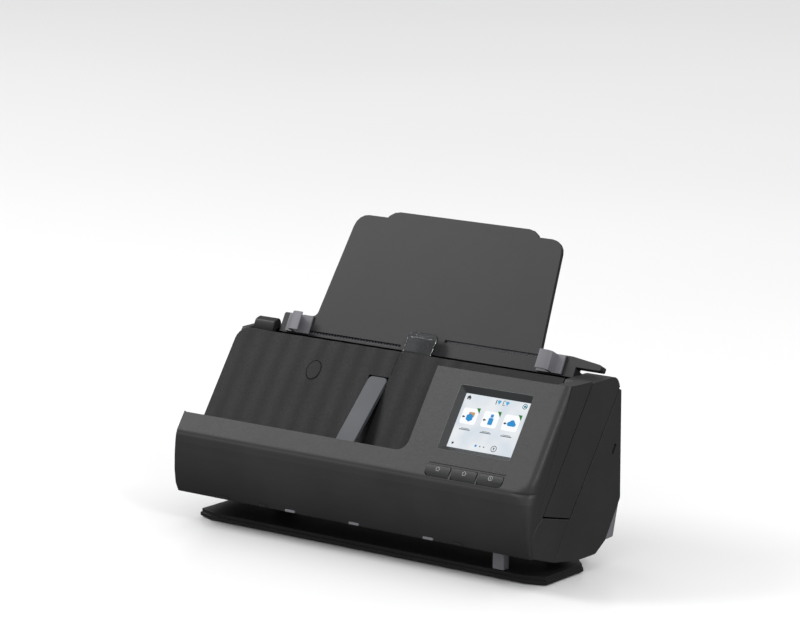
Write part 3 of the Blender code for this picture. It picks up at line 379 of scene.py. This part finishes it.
def dress(piece, body, material, slot, *nodes):
    """Gives the piece its finish, hangs it on its body, and hides what it stands for."""
    piece.data.materials.clear()
    piece.data.materials.append(material)
    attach(piece, body)
    if nodes:
        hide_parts(*nodes)
    return piece


def plate(name, outline, low, high, axes=FACE):
    """A flat piece in millimetres: a ring of edges laid along the outline, filled and extruded."""
    bpy.ops.object.select_all(action="DESELECT")
    bpy.ops.mesh.primitive_circle_add(vertices=len(outline), fill_type="NGON")
    piece = bpy.context.active_object
    piece.name = name
    for vertex, (x, y) in zip(piece.data.vertices, outline):
        vertex.co = (x, y, low)
    edit(
        piece,
        lambda: bpy.ops.mesh.extrude_region_move(TRANSFORM_OT_translate={"value": (0, 0, high - low)}),
        lambda: bpy.ops.mesh.select_all(action="SELECT"),
        lambda: bpy.ops.mesh.normals_make_consistent(inside=False),
    )
    return set_down(piece, axes)


def set_down(piece, axes):
    """Turns a piece drawn in millimetres into the world's metres."""
    piece.data.transform(axes.to_4x4() @ Matrix.Scale(MM, 4))
    return piece


def joined(name, pieces):
    bpy.ops.object.select_all(action="DESELECT")
    for piece in pieces:
        piece.select_set(True)
    bpy.context.view_layer.objects.active = pieces[0]
    bpy.ops.object.join()
    pieces[0].name = name
    return pieces[0]


def arc(centre, radius, start, end, steps=8):
    turns = [radians(start + (end - start) * i / steps) for i in range(steps + 1)]
    return [(centre[0] + radius * cos(t), centre[1] + radius * sin(t)) for t in turns]


def rounded_box(x0, x1, y0, y1, radius, steps=5):
    """A rectangle's outline with round corners; radius is one number, or four from the lower left round."""
    r = [radius] * 4 if not isinstance(radius, (list, tuple)) else radius
    corners = ((x0, y0, 180, r[0]), (x1, y0, 270, r[1]), (x1, y1, 0, r[2]), (x0, y1, 90, r[3]))
    outline = []
    for x, y, start, reach in corners:
        inward = (1 if x == x0 else -1, 1 if y == y0 else -1)
        outline += arc((x + inward[0] * reach, y + inward[1] * reach), reach, start, start + 90, steps)
    return outline


def stroke(points, width):
    """The outline of a line of this width drawn through the points."""
    sides = ([], [])
    for i, (x, y) in enumerate(points):
        before = points[max(i - 1, 0)]
        after = points[min(i + 1, len(points) - 1)]
        run = Vector((after[0] - before[0], after[1] - before[1])).normalized()
        for side, sign in zip(sides, (1, -1)):
            side.append((x - sign * run.y * width / 2, y + sign * run.x * width / 2))
    return sides[0] + sides[1][::-1]


def circle(x, y, radius, steps=24):
    return arc((x, y), radius, 0, 360 - 360 / steps, steps - 1)


def hoop(x, y, radius, width, start=0.5, end=359.5, steps=28):
    return stroke(arc((x, y), radius, start, end, steps), width)


# ---- the casing's shells -------------------------------------------------------------------------
# Node, finish, corner radius in millimetres. Each becomes a smooth piece of the same shape.
SHELLS = (
    ("bottom_housing", CHARCOAL_ABS, "case_abs", 0.5),
    ("oval_plug", PANEL_SATIN_AND_SHADE_ABS, "case_abs", 0.5),
    ("stand_arm_left", GREY_ABS, "grey_abs", 0.5),
    ("stand_arm_right", GREY_ABS, "grey_abs", 0.5),
    ("front_post", GREY_ABS, "grey_abs", 0.6),
    ("foot_front_left", RUBBER, "roller_rubber", 0.4),
    ("foot_front_right", RUBBER, "roller_rubber", 0.4),
    ("foot_rear_left", RUBBER, "roller_rubber", 0.4),
    ("foot_rear_right", RUBBER, "roller_rubber", 0.4),
    ("cover_lever", BLACK_ABS, "black_abs", 0.8),
    ("position_lever", GREY_ABS, "grey_abs", 0.6),
    ("tray_extension", TRAY_ABS, "tray_abs", 0.5),
    ("input_tray", TRAY_ABS, "tray_abs", 0.5),
    ("tray_back_cover", BLACK_ABS, "black_abs", 0.4),
    ("edge_guide_left", GREY_ABS, "tray_abs", 0.35),
    ("edge_guide_right", GREY_ABS, "tray_abs", 0.35),
    ("output_stopper", FROSTED, "clear_plastic", 0.4),
    ("output_tab", CLEAR, "clear_plastic", 0.4),
    ("dc_jack", BLACK_ABS, "black_abs", 0.3),
    ("usb_port", STEEL, "zinc_plate", 0.25),
    ("top_bridge", BLACK_ABS, "black_abs", 0.3),
)


def node_body(node):
    return frame["nodes"][node]["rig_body"]


def make_shells():
    for node, finish, slot, width in SHELLS:
        piece = merged_copy(node, f"{node}_shell")
        soften(piece, width)
        dress(piece, node_body(node), finish, slot, node)


FOLD_SOFT = 2.4                         # reach of the soft fold to each side
CORNER_REACH = 12.0                     # radius of the fold where it turns down at the right
CORNER_X = HALF - 4.0 - CORNER_REACH
CORNER_SLOPE = 0.42
END_ROUND = {-1: (1.2, 1.9), 1: (1.3, 5.0)}    # radius at the band's foot and on the face, by side
FOOT_FADE = 34.0                        # below the fold, where the foot's radius is reached
TOP_CUT = 8.0                           # the face's upper right corner, cut at 45 degrees
FACE_TOP = BODY_HIGH.y


def cut_across(piece, direction, places):
    """Adds edges where planes square to this direction, at these distances, cross the piece."""
    for place in places:
        edit(piece, lambda: bpy.ops.mesh.bisect(plane_co=direction * place * MM, plane_no=direction))


def front_vertices(mesh, crease):
    """The vertices of the leaning face and of the band below it, as two sets."""
    face, band = set(), set()
    for polygon in mesh.polygons:
        depths = [(FACE.transposed() @ mesh.vertices[i].co).z / MM for i in polygon.vertices]
        if polygon.normal.dot(FACE_NORMAL) > 0.99 and min(depths) > FACE_D - 0.05:
            face.update(polygon.vertices)
        elif polygon.normal.y < -0.8 and polygon.center.y / MM < FRONT_Y + 6.0 and polygon.center.z / MM < crease.z:
            band.update(polygon.vertices)
    return face, band


def fallen(reach, radius):
    """How far a round edge has dropped at this distance from its end."""
    into = min(max(radius - reach, 0.0), radius * 0.999)
    return radius - sqrt(radius ** 2 - into ** 2)


def make_front_cover():
    """The front: a soft fold that turns down at the right end, and round ends that carry on up to the top."""
    piece = merged_copy("front_cover", "front_cover_shell")
    up = FACE @ Vector((0, 1, 0))
    on_face = [v.co for v in piece.data.vertices if abs((FACE.transposed() @ v.co).z / MM - FACE_D) < 0.05]
    crease = min(on_face, key=lambda p: p.z) / MM
    low = up.dot(crease)
    right_cuts = (0.15, 0.5, 1.0, 1.8, 2.8, 4.0, 5.0, 6.5, 8.0, 10.0, 12.5, 16.0)
    left_cuts = (0.1, 0.35, 0.8, 1.3, 1.9)
    fold_cuts = (0.6, 1.2, 1.8, 2.4, 4.0, 6.0, 9.0, 13.0)
    cut_across(piece, Vector((1, 0, 0)), [HALF - d for d in right_cuts])
    cut_across(piece, Vector((1, 0, 0)), [d - HALF for d in left_cuts])
    cut_across(piece, up, [low + d for d in fold_cuts])
    cut_across(piece, up, [FACE_TOP - d for d in (0.15, 0.5, 1.0, 1.8, 2.8, 4.0, 5.0, 6.5, 8.0, 10.0, 12.5)])
    cut_across(piece, Vector((0, 0, 1)), [crease.z - d for d in (0.6, 1.2, 1.8, 2.4, 4.0, 6.0, 8.5, 12.0, 20.0)])
    on_faces(piece, lambda p: abs(p.normal.x) > 0.999 and abs(abs(p.center.x) / MM - HALF) < 0.02,
             lambda: bpy.ops.mesh.dissolve_faces())
    mesh = piece.data
    face, band = front_vertices(mesh, crease)
    back = Vector((0, 1, 0))
    for index in face | band:
        at = mesh.vertices[index].co / MM
        height = up.dot(at) - low
        below = crease.z - at.z
        side = 1 if at.x > 0 else -1
        foot, top = END_ROUND[side]
        radius = foot + (top - foot) * min(1.0, max(0.0, 1 - below / FOOT_FADE))
        reach = HALF - abs(at.x)
        if side == 1 and index in face:
            drop = FACE_TOP - up.dot(at)
            reach = min(reach, max(drop, CORNER_X - at.x), (HALF - at.x + drop - TOP_CUT) / sqrt(2))
        moved_by = back * fallen(reach, radius)
        across = max(at.x - CORNER_X, 0.0)
        turned = hypot(across, max(CORNER_REACH - below, 0.0)) - CORNER_REACH
        if across > 0 and turned > 0:
            if index in band:
                moved_by += back * CORNER_SLOPE * turned * min(1.0, max(0.0, 1.6 - below / 20.0))
            else:
                moved_by += back * max(crease.y + CORNER_SLOPE * turned - at.y, 0.0)
        gap = max(FOLD_SOFT - (height if index in face else below), 0.0)
        moved_by += (back - FACE_NORMAL).normalized() * gap ** 2 / (2 * FOLD_SOFT) * sin(radians(22.0))
        mesh.vertices[index].co += moved_by * MM
    soften(piece, 0.4, 3, 38.0)
    dress(piece, "cover", CHARCOAL_ABS, "case_abs", "front_cover")


JOINT_EXTRA = 0.7                       # taken off a side cover all round, so that its joints show


def slimmed(piece, amount):
    """Draws in the faces that run across the piece, which widens its joints."""
    pull = {}
    for polygon in piece.data.polygons:
        if abs(polygon.normal.x) < 0.2:
            for index in polygon.vertices:
                pull[index] = pull.get(index, Vector()) + Vector((0, polygon.normal.y, polygon.normal.z))
    for index, way in pull.items():
        piece.data.vertices[index].co -= way.normalized() * amount * MM


def make_side_covers():
    """Side covers: a round top edge on the outside, and a clear joint all round."""
    for name, side in (("left", -1), ("right", 1)):
        node = f"side_cover_{name}"
        piece = merged_copy(node, f"{node}_shell")
        slimmed(piece, JOINT_EXTRA)
        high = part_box(node)[1]

        def outer_top(v):
            return abs(v.x / MM - side * HALF) < 0.02 and v.z > high.z - 8.5 * MM

        bevel_edges(piece, lambda a, b: outer_top(a) and outer_top(b) and abs(a.y - b.y) > 0.3 * MM, 3.2, 5)
        soften(piece, 0.4, 3)
        dress(piece, "casing", CHARCOAL_ABS, "case_abs", node)


def make_rear_housing():
    piece = merged_copy("rear_housing", "rear_housing_shell")
    soften(piece, 0.5)
    dress(piece, "casing", CHARCOAL_ABS, "case_abs", "rear_housing")


STRIP_X = 46.0                          # right of here the panel is a plain strip above the display
WAVE_SHARE = 0.65                       # of the CAD waves' depth


def make_ribbed_panel():
    """The ribbed panel keeps the CAD waves, shaded round; above the display it is smooth."""
    piece = merged_copy("ribbed_panel", "ribbed_panel_shell")
    low, high = span("ribbed_panel")
    for vertex in piece.data.vertices:
        at = FACE.transposed() @ vertex.co / MM
        if high.z - 1.2 < at.z:
            middle = high.z - 0.25
            at.z = middle if at.x > STRIP_X else middle + (at.z - middle) * WAVE_SHARE
            vertex.co = FACE @ at * MM
    soften(piece, 0.25, 3, 60.0)
    dress(piece, "cover", PANEL_SATIN_AND_SHADE_ABS, "panel_abs", "ribbed_panel")


def make_stand_plate():
    """The plate in two layers, the upper one set back all round."""
    piece = merged_copy("stand_plate", "stand_plate_shell")
    low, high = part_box("stand_plate")
    middle, half = (low + high) / 2, (high - low) / 2
    joint = (low.z + high.z) / 2 / MM
    cut_across(piece, Vector((0, 0, 1)), (joint, joint + 0.1))
    for vertex in piece.data.vertices:
        if vertex.co.z / MM > joint + 0.05:
            vertex.co.x -= (vertex.co.x - middle.x) / half.x * PLATE_STEP * MM
            vertex.co.y -= (vertex.co.y - middle.y) / half.y * PLATE_STEP * MM
    soften(piece, 0.45, 3, 38.0)
    dress(piece, "stand", BLACK_ABS, "black_abs", "stand_plate")


# Notches along the band's lower edge, each drawn as a dark rubber plate: painted shade for the hollow of the notch.
SHADED_NOTCH_X = (-105.5, -72.0, 91.0)
CLIP_X = (-48.0, 6.0, 67.0)


def make_band_foot():
    """The band's lower edge: dark plates as painted shade for its notches, and the ends of three clips."""
    foot = min(v.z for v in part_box("front_cover")) / MM
    for label, places, finish, width in (("notch_shade", SHADED_NOTCH_X, RUBBER, 7.0), ("clip", CLIP_X, GREY_ABS, 8.0)):
        parts = [plate(label, rounded_box(x - width / 2, x + width / 2, foot + 1.2, foot + 2.8, 0.5, 3),
                       -FRONT_Y - 5.0, -FRONT_Y - 1.9, UPRIGHT) for x in places]
        piece = joined(f"band_{label}s", parts)
        soften(piece, 0.2, 2)
        dress(piece, "cover", finish, "case_abs")


# ---- display -------------------------------------------------------------------------------------
VIEW_X = (SCREEN_LOW.x + SCREEN_HIDDEN, SCREEN_HIGH.x - SCREEN_HIDDEN)
VIEW_Y = (SCREEN_LOW.y + SCREEN_HIDDEN, SCREEN_HIGH.y - SCREEN_HIDDEN)
VIEW_TOP = SCREEN_HIGH.z


def make_bezel():
    """A sloping frame from the face down to the glass."""
    x0, x1, y0, y1 = BEZEL_LOW.x - 0.5, BEZEL_HIGH.x + 0.5, BEZEL_LOW.y - 0.5, BEZEL_HIGH.y + 0.5
    centre = ((x0 + x1) / 2, (y0 + y1) / 2)
    bpy.ops.object.select_all(action="DESELECT")
    bpy.ops.mesh.primitive_plane_add(size=1.0)
    piece = bpy.context.active_object
    piece.name = "display_funnel"
    piece.data.transform(Matrix.Translation((*centre, FACE_D + 0.03)) @ Matrix.Diagonal((x1 - x0, y1 - y0, 1, 1)))
    edit(
        piece,
        lambda: bpy.ops.mesh.bevel(offset=2.0, segments=5, affect="VERTICES"),
        lambda: bpy.ops.mesh.select_all(action="SELECT"),
        lambda: bpy.ops.mesh.inset(thickness=0.5),
        lambda: bpy.ops.mesh.inset(thickness=1.2),
    )
    hole = max(piece.data.polygons, key=lambda p: p.area)
    ring = list(hole.vertices)
    half_x, half_y = (VIEW_X[1] - VIEW_X[0]) / 2, (VIEW_Y[1] - VIEW_Y[0]) / 2
    middle = ((VIEW_X[0] + VIEW_X[1]) / 2, (VIEW_Y[0] + VIEW_Y[1]) / 2)
    low = Vector([min(piece.data.vertices[i].co[k] for i in ring) for k in range(2)])
    high = Vector([max(piece.data.vertices[i].co[k] for i in ring) for k in range(2)])
    for i in ring:
        at = piece.data.vertices[i].co
        at.x = middle[0] + (at.x - (low.x + high.x) / 2) * 2 * half_x / (high.x - low.x)
        at.y = middle[1] + (at.y - (low.y + high.y) / 2) * 2 * half_y / (high.y - low.y)
        at.z = VIEW_TOP + 0.35
    hole_index = hole.index
    on_faces(piece, lambda p: p.index == hole_index, lambda: bpy.ops.mesh.delete(type="ONLY_FACE"))
    wall = piece.modifiers.new("wall", "SOLIDIFY")
    wall.thickness = 0.5
    wall.offset = -1.0
    apply_all(piece)
    set_down(piece, FACE)
    soften(piece, 0.12, 2, 30.0)
    dress(piece, "cover", BEZEL_ABS, "bezel_gloss", "display_bezel")


WHITE_TILE = lit("display_white", "#fbfcfe", 0.97)
PALE = lit("display_pale_sky", "#dfe8f1", 0.88, 14.0, "#f2f6f9")
SKY = lit("display_sky", "#129be4", 0.75)
LIGHT_SKY = lit("display_light_sky", "#4fbdee", 0.75)
TEAL = lit("display_teal", "#1f93a8", 0.6)
GREEN = lit("display_green", "#0d8f17", 0.6)
TAN = lit("display_tan", "#dfae76", 0.7)
DARK = lit("display_dark", "#262b30", 0.25)
FAINT = lit("display_faint", "#8f99a3", 0.6)


def at_screen(u, v):
    """A place on the screen, as shares of its width and height from the lower left."""
    return VIEW_X[0] + u * (VIEW_X[1] - VIEW_X[0]), VIEW_Y[0] + v * (VIEW_Y[1] - VIEW_Y[0])


def moved(outline, x, y, size=1.0):
    return [(x + px * size, y + py * size) for px, py in outline]


HOUSE = [(-1.0, -1.0), (-0.3, -1.0), (-0.3, -0.3), (0.3, -0.3), (0.3, -1.0), (1.0, -1.0), (1.0, 0.1), (1.4, 0.1),
         (0.0, 1.3), (-1.4, 0.1), (-1.0, 0.1)]
STAR = [(cos(pi / 2 + i * pi / 5) * reach, sin(pi / 2 + i * pi / 5) * reach)
        for i, reach in enumerate((1.0, 0.42) * 5)]
ARROW = [(0.0, 1.0), (-1.3, 0.0), (0.0, -1.0), (0.0, -0.4), (1.1, -0.4), (1.1, 0.4), (0.0, 0.4)]
FAN = [(0.0, -0.9), (0.9, 0.5)] + arc((0.0, -0.4), 1.3, 45, 135, 6)[1:-1] + [(-0.9, 0.5)]
HEXAGON = [(cos(radians(30 + 60 * i)), sin(radians(30 + 60 * i))) for i in range(6)]
CLOUD = arc((-0.7, -0.15), 0.55, 100, 270, 6) + arc((0.8, -0.2), 0.5, 270, 430, 6) + arc((0.1, 0.2), 0.75, 20, 150, 7)
TILES = (0.165, 0.49, 0.81)


def make_screen():
    """The glass and what it shows: plain tiles and signs, each colour one thin piece."""
    glass = plate("display_glass_panel", rounded_box(SCREEN_LOW.x, SCREEN_HIGH.x, SCREEN_LOW.y, SCREEN_HIGH.y, 0.8, 3),
                  SCREEN_LOW.z, SCREEN_HIGH.z - 0.05)
    soften(glass, 0.2, 2)
    dress(glass, "cover", PALE, "display_glass", "display_screen")
    width = VIEW_X[1] - VIEW_X[0]
    height = VIEW_Y[1] - VIEW_Y[0]
    drawn = {material.name: (material, []) for material in (WHITE_TILE, SKY, LIGHT_SKY, TEAL, GREEN, TAN, DARK, FAINT)}

    def draw(material, outline, layer=1):
        base = VIEW_TOP - 0.04
        drawn[material.name][1].append(plate("sign", outline, base, base + 0.05 * layer))

    def sign(material, shape, u, v, size, layer=1):
        draw(material, moved(shape, *at_screen(u, v), size), layer)

    for share in TILES:
        x, y = at_screen(share, 0.60)
        draw(WHITE_TILE, rounded_box(x - 6.2, x + 6.2, y - 5.6, y + 5.6, 1.6), 1)
        draw(GREEN, [(x + 3.6, y + 6.4), (x + 6.6, y + 6.4), (x + 6.6, y + 2.6)], 2)
        sign(DARK, ARROW, share - 0.085, 0.58, 1.0, 2)
        draw(FAINT, rounded_box(x - 4.4, x + 4.4, y - 9.9, y - 9.2, 0.3, 2), 1)
        draw(FAINT, rounded_box(x - 3.0, x + 3.2, y - 8.9, y - 8.5, 0.15, 2), 1)
    x, y = at_screen(TILES[0], 0.60)
    draw(TAN, rounded_box(x - 1.0, x + 3.6, y - 0.2, y + 3.0, 0.4, 2), 2)
    draw(SKY, moved(HEXAGON, x + 0.4, y - 0.9, 2.9), 3)
    x, y = at_screen(TILES[1], 0.60)
    draw(SKY, rounded_box(x - 1.2, x + 2.4, y - 3.6, y + 1.2, 0.5, 3), 2)
    draw(SKY, rounded_box(x - 0.5, x + 1.7, y + 1.5, y + 3.8, 0.2, 2), 2)
    x, y = at_screen(TILES[2], 0.60)
    draw(SKY, moved(CLOUD, x + 0.6, y - 0.3, 2.7), 2)

    sign(DARK, HOUSE, 0.06, 0.93, 1.35)
    sign(LIGHT_SKY, FAN, 0.53, 0.93, 1.7)
    sign(LIGHT_SKY, FAN, 0.655, 0.93, 1.7)
    x, y = at_screen(0.485, 0.93)
    draw(DARK, box_outline(x - 0.25, x + 0.25, y - 1.6, y + 1.6), 2)
    x, y = at_screen(0.60, 0.93)
    draw(DARK, stroke([(x + 1.2, y + 1.6), (x - 0.4, y + 1.6), (x - 0.4, y - 1.6), (x + 1.2, y - 1.6)], 0.4), 2)
    sign(TEAL, circle(0, 0, 1), 0.925, 0.93, 1.9)
    x, y = at_screen(0.925, 0.93)
    draw(WHITE_TILE, hoop(x, y, 1.1, 0.45, 20, 330, 16), 2)
    sign(DARK, STAR, 0.065, 0.085, 1.3)
    for share, material, size in ((0.42, SKY, 0.85), (0.485, FAINT, 0.55), (0.545, FAINT, 0.55)):
        sign(material, circle(0, 0, 1, 14), share, 0.10, size)
    x, y = at_screen(0.70, 0.10)
    draw(DARK, hoop(x, y, 2.0, 0.4), 1)
    pointer = [(-0.7, 0.2), (0.0, 1.1), (0.7, 0.2), (0.25, 0.2), (0.25, -1.0), (-0.25, -1.0), (-0.25, 0.2)]
    draw(DARK, moved(pointer, x, y), 2)
    for name, (material, pieces) in drawn.items():
        dress(joined(name.replace("display_", "screen_signs_"), pieces), "cover", material, "display_glass")


def box_outline(x0, x1, y0, y1):
    return [(x0, y0), (x1, y0), (x1, y1), (x0, y1)]


# ---- keys ----------------------------------------------------------------------------------------
KEY_SIGNS = {
    "power": lambda x, y: [hoop(x, y, 1.35, 0.32, 120, 420), stroke([(x, y + 0.2), (x, y + 1.7)], 0.32)],
    "home": lambda x, y: [stroke([(x - 1.7, y - 0.1), (x, y + 1.5), (x + 1.7, y - 0.1)], 0.34),
                          stroke([(x - 1.1, y + 0.2), (x - 1.1, y - 1.3), (x + 1.1, y - 1.3),
                                  (x + 1.1, y + 0.2)], 0.34)],
    "help": lambda x, y: [hoop(x, y, 1.5, 0.32), stroke([(x, y - 0.8), (x, y + 0.25)], 0.36),
                          circle(x, y + 0.75, 0.24, 10)],
}
KEY_SLOPE = 0.42                        # share of a key's height that slopes away
KEY_FALL = 1.1


def make_keys():
    """Each key: a flat upper part with a printed sign, and a lower part that slopes into the face."""
    for label, signs in KEY_SIGNS.items():
        node = f"{label}_button"
        low, high = span(node)
        piece = merged_copy(node, f"{label}_key")
        crest = low.y + KEY_SLOPE * (high.y - low.y)
        edit(
            piece,
            lambda: bpy.ops.mesh.bisect(plane_co=FACE @ Vector((0, crest, 0)) * MM, plane_no=FACE @ Vector((0, 1, 0))),
        )
        for vertex in piece.data.vertices:
            at = FACE.transposed() @ vertex.co / MM
            if at.z > high.z - 1.0 and at.y < crest - 0.01:
                at.z -= KEY_FALL * (crest - at.y) / (crest - low.y)
                vertex.co = FACE @ at * MM
        soften(piece, 0.22, 3, 25.0)
        dress(piece, node_body(node), KEY_ABS, "key_abs", node)
        middle = ((low.x + high.x) / 2, (crest + high.y) / 2 - 0.1)
        printed = [plate("print", outline, high.z - 0.03, high.z + 0.03) for outline in signs(*middle)]
        dress(joined(f"{label}_key_print", printed), node_body(node), INK, "key_abs")

    low, high = span("power_button")[0], span("help_button")[1]
    ridge = plate("key_ridge", rounded_box(low.x + 0.5, high.x + 0.4, high.y + 1.6, high.y + 2.3, 0.3, 3),
                  FACE_D - 0.3, FACE_D + 0.4)
    soften(ridge, 0.15, 2)
    dress(ridge, "cover", CHARCOAL_ABS, "case_abs")


# ---- small detail --------------------------------------------------------------------------------
def make_tab_grip():
    """Cross ridges near the top of the clear tab."""
    low, high = span("output_tab")
    pieces = []
    for drop in (2.6, 4.0):
        pieces.append(plate("grip", rounded_box(low.x + 3.0, high.x - 3.0, high.y - drop - 0.4, high.y - drop, 0.18, 2),
                            high.z - 0.05, high.z + 0.5))
    piece = joined("output_tab_grip", pieces)
    soften(piece, 0.12, 2)
    dress(piece, "output_tab", CLEAR, "clear_plastic")


def make_tab_seam():
    """The seam that runs down the panel from the clear tab, with a round sink at its end."""
    left = span("output_tab")[0].x + 0.6
    low, high = span("ribbed_panel")
    top = high.y - 1.0
    parts = [stroke([(left, top), (left, top - 15.0)], 0.35), circle(left, top - 15.6, 0.6, 14)]
    piece = joined("panel_seam", [plate("seam", part, high.z - 0.8, high.z - 0.05) for part in parts])
    soften(piece, 0.05, 2)
    dress(piece, "cover", RUBBER, "panel_abs")


def make_sockets():
    """The pin in the power socket and the tongue in the data socket."""
    low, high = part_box("dc_jack")
    centre = (low + high) / 2
    bpy.ops.object.select_all(action="DESELECT")
    bpy.ops.mesh.primitive_cylinder_add(vertices=20, radius=0.65 * MM, depth=4.4 * MM,
                                        location=(centre.x, high.y - 2.8 * MM, centre.z), rotation=(pi / 2, 0, 0))
    pin = bpy.context.active_object
    pin.name = "dc_pin"
    bpy.ops.object.transform_apply(location=True, rotation=True, scale=True)
    soften(pin, 0.3, 3)
    dress(pin, "casing", STEEL, "shaft_steel")

    low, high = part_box("usb_port")
    centre = (low + high) / 2
    bpy.ops.object.select_all(action="DESELECT")
    bpy.ops.mesh.primitive_cube_add(size=1.0, location=(centre.x, high.y - 3.0 * MM, centre.z + 0.4 * MM))
    tongue = bpy.context.active_object
    tongue.name = "usb_tongue"
    tongue.scale = (5.6 * MM, 4.6 * MM, 3.0 * MM)
    bpy.ops.object.transform_apply(location=True, rotation=True, scale=True)
    soften(tongue, 0.4, 3)
    dress(tongue, "casing", ACETAL, "white_acetal")


# ---- nodes that keep their CAD shape -------------------------------------------------------------
KEPT = {
    BLACK_ABS: ("rear_paper_guide", "front_paper_guide", "rear_image_sensor", "front_image_sensor"),
    GLASS: ("rear_scan_glass", "front_scan_glass"),
    RUBBER: ("feed_tyre_left", "feed_tyre_right", "transport_tyre_left", "transport_tyre_right", "separation_roller",
             "pinch_roller_left", "pinch_roller_right", "turn_roller", "drive_belt"),
    STEEL: ("feed_shaft", "transport_shaft", "motor_pulley", "tilt_pin_left", "tilt_pin_right"),
    ZINC: ("chassis", "feed_motor"),
    BOARD: ("main_board", "panel_board"),
    ACETAL: ("feed_pulley", "transport_pulley", "guide_pinion"),
}


def dress_kept_nodes():
    for finish, nodes in KEPT.items():
        for node in nodes:
            mesh = frame["nodes"][node].data
            mesh.materials.clear()
            mesh.materials.append(finish)


# ---- studio --------------------------------------------------------------------------------------
VIEW_AZIMUTH, VIEW_ELEVATION = radians(37.43), radians(11.57)
VIEW_DISTANCE = 2378.0
VIEW_LENS = 160.5
VIEW_AIM = Vector((-6.9, 2.4, 148.0))
SKY_STRENGTH = (0.5, 1.1)             # of the sky as a light, below and above the horizon
MIRRORED_STRENGTH = (0.04, 0.45)        # of the sky in reflections


def make_camera():
    back = Vector((
        sin(VIEW_AZIMUTH) * cos(VIEW_ELEVATION),
        -cos(VIEW_AZIMUTH) * cos(VIEW_ELEVATION),
        sin(VIEW_ELEVATION),
    ))
    bpy.ops.object.camera_add(location=(VIEW_AIM + back * VIEW_DISTANCE) * MM)
    camera = bpy.context.active_object
    camera.rotation_euler = (-back).to_track_quat("-Z", "Y").to_euler()
    camera.data.lens = VIEW_LENS
    camera.data.sensor_width = 36.0
    camera.data.clip_start = 0.05
    camera.data.clip_end = 60.0
    bpy.context.scene.camera = camera


KEY_LIGHT = {"place": (-2.6, -0.9, 2.5), "aim": (0.0, 0.0, 0.08), "size": (1.2, 1.2), "power": 52.0}
EDGE_LIGHT = {"place": (1.9, -0.83, 1.45), "aim": (0.1, 0.0, 0.08), "size": (0.5, 0.5), "power": 14.0}


def soft_box(name, place, aim, size, power):
    """A rectangular light of so many watts, turned to face its aim."""
    bpy.ops.object.light_add(type="AREA", location=place)
    light = bpy.context.active_object
    light.name = name
    light.rotation_euler = (Vector(aim) - Vector(place)).to_track_quat("-Z", "Y").to_euler()
    light.data.shape = "RECTANGLE"
    light.data.size, light.data.size_y = size
    light.data.energy = power
    return light


def make_studio():
    """A white sweep under an even white sky, with a large soft light at the upper left and a small one at the right."""
    bpy.ops.object.select_all(action="DESELECT")
    bpy.ops.mesh.primitive_plane_add(size=60.0, location=(0, 0, 0))
    floor = bpy.context.active_object
    floor.name = "floor"
    made, tree, shader, place = blank("white_sweep", Roughness=0.22)
    cloud = noise(tree, place, 900.0, 1.0)
    tree.links.new(tinted(tree, cloud, "#f6f6f7", "#f9f9fa"), shader.inputs["Base Color"])
    floor.data.materials.append(made)
    floor.visible_glossy = False
    floor.visible_diffuse = False

    world = bpy.context.scene.world or bpy.data.worlds.new("sky")
    bpy.context.scene.world = world
    world.use_nodes = True
    tree = world.node_tree
    tree.nodes.clear()
    height = add(tree, "SeparateXYZ", links={"Vector": add(tree, "TexCoord").outputs["Generated"]}).outputs["Z"]
    glossy = add(tree, "LightPath").outputs["Is Glossy Ray"]
    sky = spread(tree, height, *SKY_STRENGTH, -0.25, 0.45)
    mirrored = spread(tree, height, *MIRRORED_STRENGTH, -0.25, 0.45)
    both = add(tree, "Mix", {}, {"Factor": glossy, "A": sky, "B": mirrored}, data_type="FLOAT")
    shown = add(tree, "Background", {"Color": (1, 1, 1, 1)}, {"Strength": both.outputs["Result"]})
    add(tree, "OutputWorld", {}, {"Surface": shown.outputs[0]})

    soft_box("key_light", **KEY_LIGHT)
    soft_box("edge_light", **EDGE_LIGHT)
    bpy.context.scene.view_settings.view_transform = "Standard"


make_shells()
make_front_cover()
make_side_covers()
make_rear_housing()
make_ribbed_panel()
make_stand_plate()
make_band_foot()
make_bezel()
make_screen()
make_keys()
make_tab_grip()
make_tab_seam()
make_sockets()
dress_kept_nodes()
make_camera()
make_studio()
